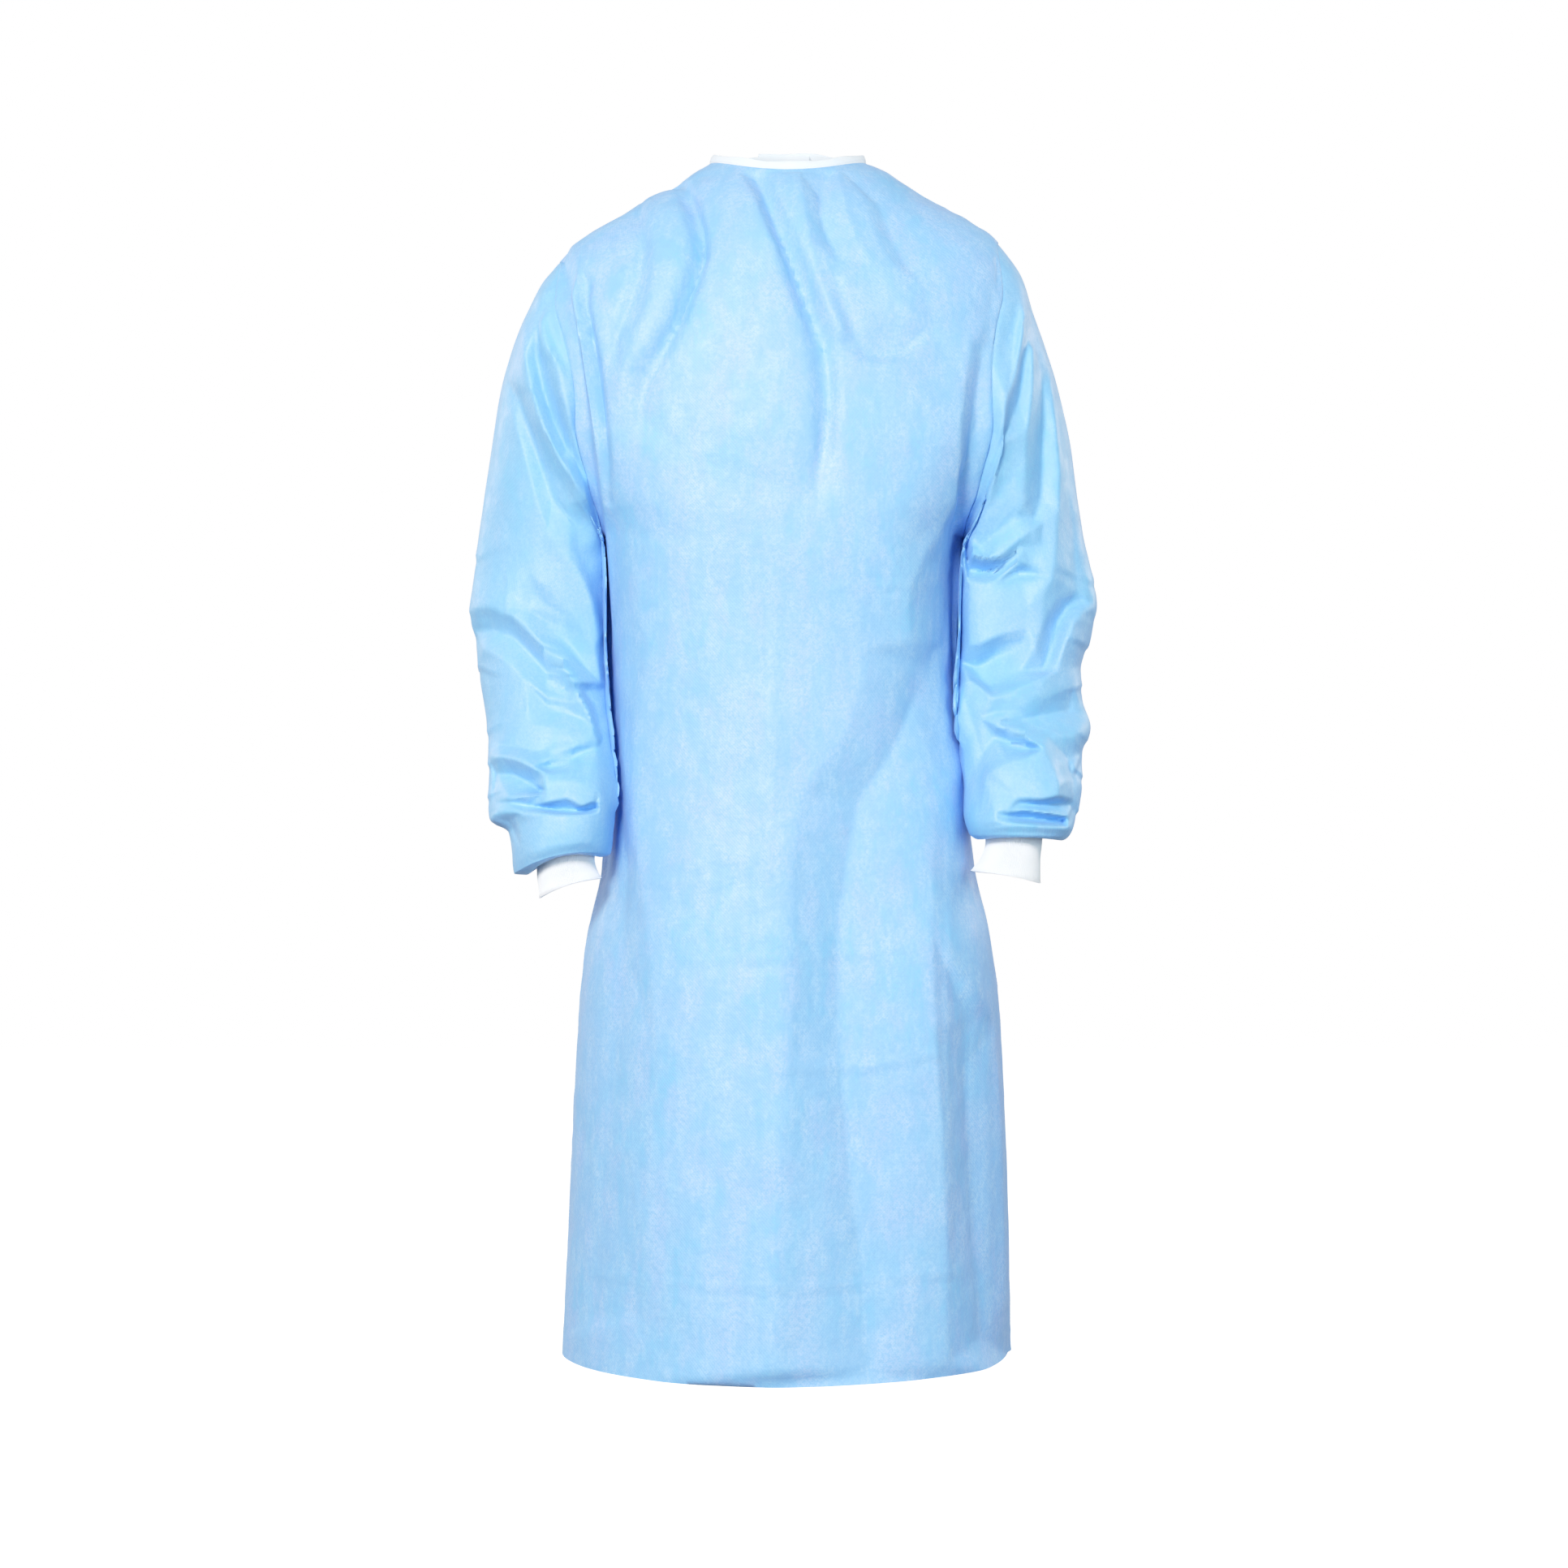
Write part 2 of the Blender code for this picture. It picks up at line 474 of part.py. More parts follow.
def sleeve(side, table, turned, folds):
    """The grids of a sleeve. Its last turned rings lie inside the roll over the cuff."""
    start, normal, onward = armhole(side)
    shoulder, underarm = start[0], start[ARMHOLE_ROWS]
    chord = (shoulder - underarm) / 2
    share = np.clip((start - (shoulder + underarm) / 2) @ chord / (chord @ chord), -1, 1)
    turn = np.arccos(share)
    turn[ARMHOLE_ROWS + 1:] = 2 * pi - turn[ARMHOLE_ROWS + 1:]
    even = np.linspace(0, 2 * pi, SLEEVE_SIDES, endpoint=False)
    seat = Ring(side * shoulder[0], shoulder[2], side * underarm[0], underarm[2], 0.0, 0.070, 0.0)
    excess = start - ring_points(seat, side, turn)
    lean = pi / 2 * (1 - np.cos(turn))[:, None] / 2
    rings = [start + SEAM * (onward * np.cos(lean) + normal * np.sin(lean))]
    for number, ring in enumerate(table, start=1):
        keep = 1 - soft_step(number / (BLEND_RINGS + 1))
        points = ring_points(ring, side, turn * keep + even * (1 - keep)) + keep * excess
        inside = number > len(table) - turned
        gap = TURNED_CLEAR if inside else SLEEVE_CLEAR * min(1, number / CLEAR_RINGS)
        rings.append(clear_of_body(points, side, gap))
    outer = np.array(rings)
    first_inner = outer[0] + WALL * (onward * np.sin(lean) - normal * np.cos(lean))
    if side > 0:
        outer, first_inner = outer[:, ::-1], first_inner[::-1]
    normals = tube_normals(outer)
    height = fold_height(outer, folds) * np.clip(-normals[..., 1], 0, 1)
    height[:2] = 0
    height[-turned:] = 0
    outer = outer + normals * height[..., None]
    inner = outer - tube_normals(outer) * WALL
    inner[0] = first_inner
    return outer, inner


def cuff(side, top, table):
    """The grids of a rib-knit cuff that starts inside the sleeve's turned end."""
    turn = np.linspace(0, 2 * pi, 2 * CUFF_RIBS, endpoint=False)
    crest = CUFF_CLEAR
    valley = CUFF_CLEAR + RIB_DEPTH
    outer, inner = [], []
    for ring in (top,) + table:
        high = ring_points(ring, side, turn, crest)
        low = ring_points(ring, side, turn, valley)
        ribbed = np.where((np.arange(2 * CUFF_RIBS) % 2)[:, None], high, low)
        outer.append(clear_of_body(ribbed, side, CUFF_BODY_CLEAR))
        plain = ring_points(ring, side, turn, valley + WALL)
        inner.append(clear_of_body(plain, side, CUFF_BODY_CLEAR + RIB_DEPTH + WALL))
    outer, inner = np.array(outer), np.array(inner)
    if side > 0:
        outer, inner = outer[:, ::-1], inner[:, ::-1]
    return outer, inner


# ================================================================ the gown
for old in list(bpy.data.objects):
    bpy.data.objects.remove(old)

blue_cloth = material("blue_nonwoven", (0.33, 0.62, 0.93), 0.55)
white_knit = material("white_rib_knit", (0.88, 0.89, 0.93), 0.85)
white_binding = material("white_binding", (0.82, 0.90, 0.96), 0.60)

# Front and back panels
edge = front_edge(PANEL_DOWNS)
angle = spread(-edge, np.linspace(-FRONT_STEADY, FRONT_STEADY, 15), edge)
grid_object("front_panel", *panel(angle, [0, -1], None, FRONT_FOLDS), blue_cloth)
edge = back_edge(PANEL_DOWNS)
over = 180 + past_centre(PANEL_DOWNS, OVERLAP_OVER)
under = 180 + past_centre(PANEL_DOWNS, OVERLAP_UNDER)
steady = np.linspace(BACK_STEADY, 180, 8)
angle = spread(edge, steady, over)
grid_object("back_left", *panel(angle, [0], outer_back_lift, BACK_FOLDS), blue_cloth)
angle = spread(-under, -steady[::-1], -edge)
grid_object("back_right", *panel(angle, [-1], None, BACK_FOLDS), blue_cloth)

# Sleeves and cuffs
for name, side, table, folds, ends in (
    ("left", 1, SLEEVE_LEFT, SLEEVE_LEFT_FOLDS, CUFF_LEFT),
    ("right", -1, SLEEVE_RIGHT, SLEEVE_RIGHT_FOLDS, CUFF_RIGHT),
):
    grid_object("sleeve_" + name, *sleeve(side, table, TURNED_RINGS, folds), blue_cloth, tube=True)
    grid_object("cuff_" + name, *cuff(side, table[-1], ends), white_knit, tube=True)

# Neck binding: one strip from the inner back's end, round the front, to the outer back's end
NECK = np.zeros(1)
first, last = -180 - past_centre(NECK, OVERLAP_UNDER), 180 + past_centre(NECK, OVERLAP_OVER)
angle = np.linspace(first, last, 65).T
level = outward(NECK, angle) * [1, 1, 0]
height = BINDING_HEIGHT * np.array([1, 0.5, 0])[:, None, None]
rim = body(NECK, angle) + outward(NECK, angle) * outer_back_lift(NECK, angle)[..., None]
stand = BINDING_PROUD - BINDING_LEAN * height
outer = rim + unit(level) * stand + (SEAM + height) * [0, 0, 1]
grid_object("neck_binding", outer, outer - unit(level) * BINDING_WALL, white_binding)

# The tab that closes the nape: it lies on the outer back and past its edge on the inner one
down = np.linspace(*TAB, 4)[:, None]
edge = across_back(down, -OVERLAP_OVER * overlap_share(down))
first = across_back(down, TAB_BEFORE - OVERLAP_OVER * overlap_share(down))
last = across_back(down, -TAB_BEYOND - OVERLAP_OVER * overlap_share(down))
angle = first + (last - first) * np.linspace(0, 1, 13)
grid_object("neck_tab", *patch(down, angle, over_edge(angle, edge), TIE_WALL), white_binding)

# Waist ties, from the side seams to the knot at the centre back
down = TIE_DOWN + TIE_WIDTH * np.array([-0.5, 0, 0.5])[:, None]
knot_side = KNOT[0] + SEAM
near, far = across_back(down, knot_side), across_back(down, -knot_side)
edge = across_back(down, -OVERLAP_OVER * overlap_share(down))
share = np.linspace(0, 1, 25)
angle = TIE_START + (near - TIE_START) * share
lift = TIE_LIFT + outer_back_lift(down, angle + TIE_EARLY)
grid_object("waist_tie_left", *patch(down, angle, lift, TIE_WALL), blue_cloth)
angle = far + (360 - TIE_START - far) * share
grid_object("waist_tie_right", *patch(down, angle, over_edge(angle, edge), TIE_WALL), blue_cloth)

# The knot, and its two hanging tails
centre = np.array([TIE_DOWN]), across_back(np.array([TIE_DOWN]), 0)
seat = body(*centre)[0] + outward(*centre)[0] * (OVERLAP_LIFT + TIE_LIFT + KNOT[1])
knot = bpy.data.meshes.new("waist_knot")
shape = bmesh.new()
bmesh.ops.create_uvsphere(shape, u_segments=14, v_segments=9, radius=1)
bmesh.ops.scale(shape, vec=KNOT, verts=shape.verts)
bmesh.ops.translate(shape, vec=seat, verts=shape.verts)
shape.to_mesh(knot)
shape.free()
add_object("waist_knot", knot, blue_cloth)
for name, side in (("left", 1), ("right", -1)):
    share = np.linspace(0, 1, 13)[:, None]
    down = TIE_DOWN + KNOT[2] + TIE_LIFT + TAIL_LENGTHS[name] * share
    start = SEAM + TAIL_SPREAD * share
    width = TIE_WIDTH * (0.40 + 0.55 * soft_step(share / 0.35))
    edges = [across_back(down, side * start), across_back(down, side * (start + width))]
    first, last = edges if side < 0 else edges[::-1]
    angle = first + (last - first) * np.linspace(0, 1, 4)
    lift = TIE_LIFT + OVERLAP_LIFT + 0 * angle
    grid_object("tie_tail_" + name, *patch(down, angle, lift, TIE_WALL), blue_cloth)
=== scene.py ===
"""Surgical gown, worn: the cloth as it shows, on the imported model's frame.

Metres, +Z up. The front faces -Y and the wearer's left is toward +X. Every sheet is a thin shell
whose outer side follows its solid's form, with the finer creases, seams and stitches added."""

from collections import namedtuple
from math import pi

import bpy
import numpy as np
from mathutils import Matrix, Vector
from mathutils.bvhtree import BVHTree
from mathutils.geometry import delaunay_2d_cdt


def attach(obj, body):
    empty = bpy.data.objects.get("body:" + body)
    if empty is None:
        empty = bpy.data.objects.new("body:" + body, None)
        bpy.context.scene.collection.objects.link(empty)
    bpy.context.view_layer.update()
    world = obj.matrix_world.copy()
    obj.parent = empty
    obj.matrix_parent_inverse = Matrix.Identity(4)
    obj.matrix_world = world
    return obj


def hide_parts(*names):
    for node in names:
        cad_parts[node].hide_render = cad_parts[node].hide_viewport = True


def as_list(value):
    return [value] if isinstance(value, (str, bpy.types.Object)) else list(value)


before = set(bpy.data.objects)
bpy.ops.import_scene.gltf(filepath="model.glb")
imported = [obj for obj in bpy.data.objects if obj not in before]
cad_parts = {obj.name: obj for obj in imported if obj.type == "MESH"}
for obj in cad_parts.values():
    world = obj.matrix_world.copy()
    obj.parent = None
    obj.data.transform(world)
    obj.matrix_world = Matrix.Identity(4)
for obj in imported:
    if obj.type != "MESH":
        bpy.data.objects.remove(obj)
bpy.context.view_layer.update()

# ---------------------------------------------------------------- driving sizes, in metres
WALL = 0.0007             # a sheet's thickness
SEAM = 0.00005            # gap between two sewn pieces, closed by their stitches
TUCK = (0.0012, 0.0009)   # a sleeve's seam allowance passes under the panels: how far, how deep
SHOULDER = 0.160          # distance down the cloth to the shoulder point
UNDERARM = 0.415          # and to the bottom of the armhole
HEM = 1.190               # and to the hem
SIDE = 90.0               # the side seams' angle, in degrees from the front centre
SEAM_FORWARD = 5.0        # degrees that the shoulder seam lies in front of the ridge
ARMHOLE_FRONT = 33.0      # degrees that the armhole bites into the front
ARMHOLE_BACK = 30.0       # and into the back
ARMHOLE_HIGH = 0.85       # under 1, it bites deepest above its middle
ARMHOLE_BLUNT = 0.55      # under 1, its ends are blunt
OVERLAP_OVER = 0.085      # the outer back passes the centre by this much
OVERLAP_UNDER = 0.065     # and the inner back by this much
OVERLAP_NECK = 0.35       # at the neck, only by this share of it
OVERLAP_WHOLE = 0.45      # and from this distance down, by all of it
OVERLAP_LIFT = 0.0042     # the outer back lies this far above the inner one
OVERLAP_SPARE = 1.15      # all along the inner one's width and a little more
LIFT_RUN = 0.050          # and rises to it over this width
SLEEVE_CLEAR = 0.0017     # the sleeves hang this far from the body
NESTLE = 0.020            # and are pressed against its side by this much
NESTLE_SQUARE = 0.42      # under 1, their inner side is squarer
NESTLE_FADE = 0.4         # except toward their ends, from this share of their length
TURNED_CLEAR = 0.0080     # their turned ends this far
CUFF_BODY_CLEAR = 0.0092  # and the cuffs this far
BINDING_HEIGHT = 0.0080   # neck binding
BINDING_WALL = 0.0022
BINDING_PROUD = 0.0004    # it stands this far outside the cloth
BINDING_LEAN = 0.30       # it leans in by this share of its height
TAB = (0.010, 0.034)      # the nape's tab, from and to this distance down
TAB_BEFORE = 0.030        # it reaches this far before the outer back's edge
TAB_BEYOND = 0.032        # and beyond it
TIE_DOWN = 0.500          # distance down to the middle of the waist ties
TIE_WIDTH = 0.030
TIE_THIN = 0.0009         # a tie's thickness
TAB_WALL = 0.0012         # the tab's thickness
TIE_LIFT = 0.0009         # the ties lie this far above the cloth
KNOT = (0.0160, 0.0095, 0.0135)     # half sizes of the waist knot
KNOT_INSIDE = 0.55        # the ties pass into it by the rest of its half width
TIE_START = 97.0          # the ties start just behind the side seams, in degrees
TIE_EARLY = 4.0           # the left tie rises this many degrees before the cloth under it
EDGE_PAST = 1.5           # a strip passes the outer back's edge by this many degrees
EDGE_DROP = 9.0           # and then drops over this many
TAIL_SPREAD = 0.020
TAIL_LENGTHS = {"left": 0.235, "right": 0.205}
TURNED_RINGS = 3          # rings of a sleeve that are turned up inside its roll
CLEAR_RINGS = 3           # rings over which a sleeve comes clear of the body
BLEND_RINGS = 4           # rings over which the armhole's shape turns into the sleeve's
ARMHOLE_DEPTH = 0.070     # half the depth of the plain ring that fits the armhole

# ---------------------------------------------------------------- how fine the grids are
SHOULDER_STEPS = 44
ARMHOLE_STEPS = 92
SKIRT_STEPS = 170
MIDDLE_STEPS = 104        # across the front's steady middle
BACK_STEPS = 25           # and across each back's
EDGE_STEPS = 27           # and from there to each sewn edge
EDGE_CLOSER = 1.5         # over 1, the columns come closer together toward the edge
SLEEVE_STEPS = 246        # along a sleeve
LOWER_CLOSER = 0.42       # over 0, the rows of a tube come closer together toward its lower end
BINDING_STEPS = 420       # along the binding
BINDING_ROWS = 15
TAB_ROWS = 13
TAB_COLUMNS = 48
TIE_ROWS = 22
TIE_STEPS = 110
TAIL_ROWS = 90
TAIL_COLUMNS = 22
CUFF_RIBS = 132
CUFF_RIB_STEPS = 4
CUFF_STEPS = 14
FRONT_STEADY = 49.0       # the front's middle columns keep their angles up to this many degrees
BACK_STEADY = 126.0       # and the back's from this many

# ---------------------------------------------------------------- relief, in metres
FACING = 1.6              # over 1, the creases of one view reach further round to the next
FLANK = 2.1               # a crease's flanks end at this many times its reach
CREST = 1.35              # 1 for flat flanks, more where they flatten toward their feet
NARROW = 0.4              # the share of its reach that a crease keeps at its ends
NET_MARGIN = 0.030        # a net of facets dies out over this beyond its outermost points
NET_FADE = 6.0            # degrees from a sewn edge within which it dies out
NET_DEEP = 2.0            # its heights count this many times on the front
NET_DEEP_SLEEVE = 2.5     # and this many times on a sleeve
NET_ROUND = 2.2           # over 1, a sleeve's net ends sooner toward its sides
NET_SOFT = 0.0016         # its edges are rounded over this
FOLD_SHARE = 0.4          # the share of the largest folds that stays beside a net
NECK_FADE = 0.010         # a panel's relief dies out within this of the neck
CREASE_FADE = 2.2         # degrees from a sewn edge within which a crease dies out
FOLD_POINTS = 13          # points along a fold's curve
CREASE_POINTS = 8         # and along each stretch of a crease
LATTICE = 64              # the crumple repeats after this many bumps
CRUMPLES = ((0.095, 0.0011), (0.048, 0.0007), (0.021, 0.00028))    # size and height
SEEDS = {"front": 11, "back": 23, "left": 31, "right": 47}          # what their crumple starts from
SEAM_GROOVE = 0.0005      # a seam's groove
SEAM_GROOVE_REACH = 0.0022
SEAM_PUCKER = 0.0011      # the puckers beside it
SEAM_PUCKER_SIZE = 0.011
SEAM_PUCKER_REACH = 0.010
SLEEVE_FREE = 0.018       # a sleeve's relief grows over this from its armhole
ROLL_FREE = 0.012         # and dies out over this before its turned end
CUFF_CLEAR = 0.0007       # the ribs' crests inside the turned sleeve end
RIB_DEPTH = 0.0006
CUFF_EDGE = 0.0016        # the cuff's finished edge
CUFF_EDGE_FLAT = 0.6      # the ribs flatten there by this share
CUFF_EDGE_PROUD = 0.0004
BINDING_STITCH = 0.0016   # the binding's stitch line above its lower edge
TAB_CORNER = 0.006
CLEAR_OF_CRUMPLE = 0.0010 # what lies on the back clears its crumple by this
BINDING_PUCKERS = ((0.006, 0.00035), (0.021, 0.0004))               # size and height
BINDING_WAVE = 0.0006     # its upper edge waves by this
BINDING_EDGE = 0.35       # the share of its thickness that its edges keep
BINDING_DENT = 0.0005     # its stitches draw it in by this
BINDING_DENT_REACH = 0.0007
TIE_PLEAT = 0.0012        # the ties' pleats beside the knot
TIE_WRINKLE = 0.0004
TIE_WRINKLE_SIZE = 0.012
TIE_PLEATS = 5            # half waves across a tie
TIE_PLEATED = 0.35        # they deepen from this share of its length
TIE_NARROWS = 0.55        # and it gets narrower from this share
TIE_AT_KNOT = 0.42        # the share of its width that a tie keeps at the knot
TAIL_WAVE = 0.0016
TAIL_PLEATS = 4           # half waves across a tail
TAIL_PLEATED = 0.45       # they die out within this share of its length
TAIL_AT_KNOT = 0.40       # the share of its width that it has at the knot
TAIL_WIDENS = (0.35, 0.95)    # and how far down it has this greater share
KNOT_PLEAT = 0.10         # as a share of the knot's half sizes
KNOT_LUMP = 0.05
KNOT_RINGS = 30
KNOT_SIDES = 80
# The knot's lobes and wrap: half sizes, how far they stand out and how many pleats each has
LOBE_LEFT = ((0.0150, 0.0060, 0.0070), -0.001, 9)
LOBE_RIGHT = ((0.0150, 0.0058, 0.0066), -0.002, 8)
KNOT_WRAP = ((0.0128, 0.0085, 0.0072), 0.0005, 11)
LOBE_LEAN = (0.45, -0.50)     # how far each lobe rises for its length, left and right
STITCH_SIDES = 4
STITCH_PITCH = 0.0034
STITCH_LENGTH = 0.0024
STITCH_THICK = 0.0005
STITCH_FORM = ((-1.0, 0.35), (-0.8, 0.85), (0.0, 1.0), (0.8, 0.85), (1.0, 0.35))    # along, thick
STITCH_COLUMN = 4         # columns in from a panel's sewn edge
HEM_ROW = 5               # rows up from the hem

# ---------------------------------------------------------------- colours, linear
BLUES = ((0.262, 0.500, 0.920), (0.205, 0.500, 0.920), (0.340, 0.515, 0.940), (0.400, 0.620, 0.970))
SLEEVE_TINT = np.array([0.97, 1.04, 1.0])
FLECK = np.array([0.86, 0.92, 0.97])
WHITE_KNIT = np.array([0.92, 0.92, 0.94])
WHITE_BINDING = np.array([0.80, 0.84, 0.88])
BLUE_THREAD = np.array([0.28, 0.55, 0.88])
WHITE_THREAD = np.array([0.80, 0.84, 0.90])
EMBOSS = 0.0030           # two points of the embossed grid
EMBOSS_TALL = 1.12        # it is this much taller than wide
KNIT_PITCH = 0.0011
WEAVE = 0.0010
# A layer of clouds in the cloth: how its noise is drawn out down the cloth (under 1 is longer), its
# scale, detail and roughness, the noise that it starts and is full at, and how much of it shows
Layer = namedtuple("Layer", "drawn scale detail rough start full share")
BROAD_CLOUD = Layer(1, 11, 3, 0.60, 0.36, 0.64, 1.00)
PATCHES = Layer(0.45, 30, 4, 0.62, 0.47, 0.62, 0.75)
BLOTS = Layer(0.45, 75, 4, 0.65, 0.45, 0.68, 0.65)
STREAKS = Layer(0.08, 60, 3, 0.60, 0.48, 0.75, 0.45)
FLECKS = Layer(1, 330, 3, 0.70, 0.42, 0.62, 0.80)
KNIT_SHADE = Layer(1, 90, 3, 0.60, 0.30, 0.70, 1.00)
BINDING_SHADE = Layer(1, 70, 3, 0.60, 0.30, 0.70, 1.00)

# ---------------------------------------------------------------- the studio
FLOOR = -1.53
FLOOR_SIZE = 14.0
FLOOR_GLOW = 1.10         # it melts into the white behind it
SKY_LIGHT = (0.12, 0.70)  # from the front and from the white wall behind
SKY_TURN = (-0.4, 0.9)    # the share of the way from front to back over which one turns into the other
AIM = (0.0, 0.0, -0.60)
LAMPS = (
    ("key", (-1.05, -4.2, 1.2), (0.9, 0.9), 222.0, (1.0, 1.0, 1.0)),
    ("fill_left", (-2.2, -3.0, -0.2), (1.6, 1.6), 43.0, (0.92, 0.98, 1.0)),
    ("fill_right", (2.2, -3.0, -0.2), (1.6, 1.6), 54.0, (0.74, 0.93, 1.0)),
    ("rim_right", (2.5, 1.7, 0.5), (1.4, 1.4), 34.0, (1.0, 1.0, 1.0)),
    ("rim_left", (-2.5, 1.7, 0.5), (1.4, 1.4), 26.0, (1.0, 1.0, 1.0)),
)
# The picture's tones: from the scene's light to the picture's, bright tones closer together
TONES = ((0.50, 0.515), (0.68, 0.66), (0.85, 0.765), (1.17, 0.925))
WHITE_AT = 1.35
CAMERA_PLACE = (0.0, -2.8, -0.6168)
CAMERA_LENS = 65.2
CAMERA_SENSOR = 36.0
PHOTO_MIDDLE = 966        # the photo is twice this many pixels wide and high
PIXEL = 0.0008            # the width that a pixel shows at the origin's depth
SEEN_DEPTH = 0.02         # what lies further back than this isn't seen beside the outline

# ---------------------------------------------------------------- rows down the cloth
ARMHOLE_DOWNS = SHOULDER + (UNDERARM - SHOULDER) * (1 - np.cos(np.linspace(0, pi, ARMHOLE_STEPS + 1))) / 2
PANEL_DOWNS = np.concatenate([
    np.linspace(0, SHOULDER, SHOULDER_STEPS + 1)[:-1],
    ARMHOLE_DOWNS,
    np.linspace(UNDERARM, HEM, SKIRT_STEPS + 1)[1:],
])

# ---------------------------------------------------------------- the body's sections
# A row for each section, from the neck down. down is the distance along the cloth. The side,
# front and back of a section lie at their own heights, and tilt raises its +X side.
Section = namedtuple("Section", "down side_z front_z back_z tilt half_width front_depth back_depth"
                                " square middle_x")
BODY = (
    Section(0.000, -0.007, -0.0235, 0.006, 0.000, 0.0775, 0.060, 0.058, 2.0, 0.004),
    Section(0.035, -0.0225, -0.050, -0.014, 0.003, 0.104, 0.082, 0.084, 2.1, 0.002),
    Section(0.080, -0.0440, -0.088, -0.052, 0.0045, 0.139, 0.100, 0.104, 2.2, 0.000),
    Section(0.125, -0.0740, -0.127, -0.090, 0.0065, 0.190, 0.112, 0.114, 2.3, -0.002),
    Section(0.160, -0.0950, -0.158, -0.120, 0.0095, 0.2155, 0.119, 0.118, 2.4, -0.005),
    Section(0.205, -0.1480, -0.200, -0.165, 0.004, 0.242, 0.126, 0.119, 2.4, -0.005),
    Section(0.300, -0.2550, -0.290, -0.262, 0.000, 0.235, 0.132, 0.118, 2.4, 0.000),
    Section(0.365, -0.3250, -0.350, -0.330, 0.000, 0.203, 0.132, 0.116, 2.4, 0.000),
    Section(0.415, -0.3750, -0.392, -0.380, 0.000, 0.178, 0.131, 0.113, 2.4, -0.001),
    Section(0.530, -0.4930, -0.498, -0.493, 0.000, 0.1725, 0.127, 0.105, 2.4, -0.002),
    Section(0.650, -0.6130, -0.615, -0.613, 0.000, 0.1745, 0.131, 0.105, 2.4, 0.000),
    Section(0.735, -0.7000, -0.702, -0.700, 0.000, 0.1820, 0.137, 0.110, 2.4, 0.002),
    Section(0.810, -0.7770, -0.779, -0.777, 0.000, 0.2000, 0.144, 0.116, 2.4, 0.004),
    Section(0.880, -0.8480, -0.850, -0.848, 0.000, 0.2075, 0.150, 0.121, 2.3, 0.005),
    Section(1.190, -1.1740, -1.176, -1.172, 0.000, 0.2210, 0.172, 0.142, 2.0, 0.003),
)

# ---------------------------------------------------------------- the sleeves' rings
# A row for each ring, from the armhole to the turned end inside the bloused roll. A ring joins
# its outer and its inner point, is half_depth deep each way and rises by lift in front and behind.
Ring = namedtuple("Ring", "outer_x outer_z inner_x inner_z middle_y half_depth lift")
SLEEVE_LEFT = (
    Ring(0.2328, -0.1200, 0.1808, -0.3816, 0.000, 0.073, 0.000),
    Ring(0.2451, -0.1553, 0.1811, -0.3877, 0.004, 0.074, 0.000),
    Ring(0.2599, -0.1948, 0.1813, -0.3954, 0.008, 0.074, 0.000),
    Ring(0.2748, -0.2384, 0.1808, -0.4071, 0.012, 0.073, 0.000),
    Ring(0.2846, -0.2823, 0.1793, -0.4230, 0.014, 0.072, 0.000),
    Ring(0.2896, -0.3263, 0.1778, -0.4390, 0.016, 0.071, 0.000),
    Ring(0.2954, -0.3665, 0.1771, -0.4550, 0.017, 0.070, 0.000),
    Ring(0.3034, -0.4027, 0.1763, -0.4711, 0.017, 0.069, 0.000),
    Ring(0.3095, -0.4391, 0.1753, -0.4833, 0.014, 0.068, 0.000),
    Ring(0.3022, -0.4717, 0.1716, -0.5014, 0.006, 0.066, 0.000),
    Ring(0.2918, -0.5041, 0.1711, -0.5201, -0.002, 0.064, 0.000),
    Ring(0.2923, -0.5324, 0.1737, -0.5403, -0.012, 0.062, 0.000),
    Ring(0.2990, -0.5605, 0.1793, -0.5645, -0.024, 0.061, 0.000),
    Ring(0.2890, -0.5884, 0.1872, -0.5884, -0.036, 0.060, 0.000),
    Ring(0.2877, -0.6180, 0.1874, -0.6200, -0.054, 0.058, 0.000),
    Ring(0.2812, -0.6465, 0.1828, -0.6457, -0.066, 0.055, 0.000),
    Ring(0.2734, -0.6666, 0.1846, -0.6651, -0.074, 0.052, 0.002),
    Ring(0.2660, -0.6710, 0.1890, -0.6700, -0.075, 0.046, 0.003),
    Ring(0.2530, -0.6650, 0.1920, -0.6640, -0.076, 0.036, 0.003),
    Ring(0.2490, -0.6540, 0.1920, -0.6510, -0.076, 0.034, 0.000),
)
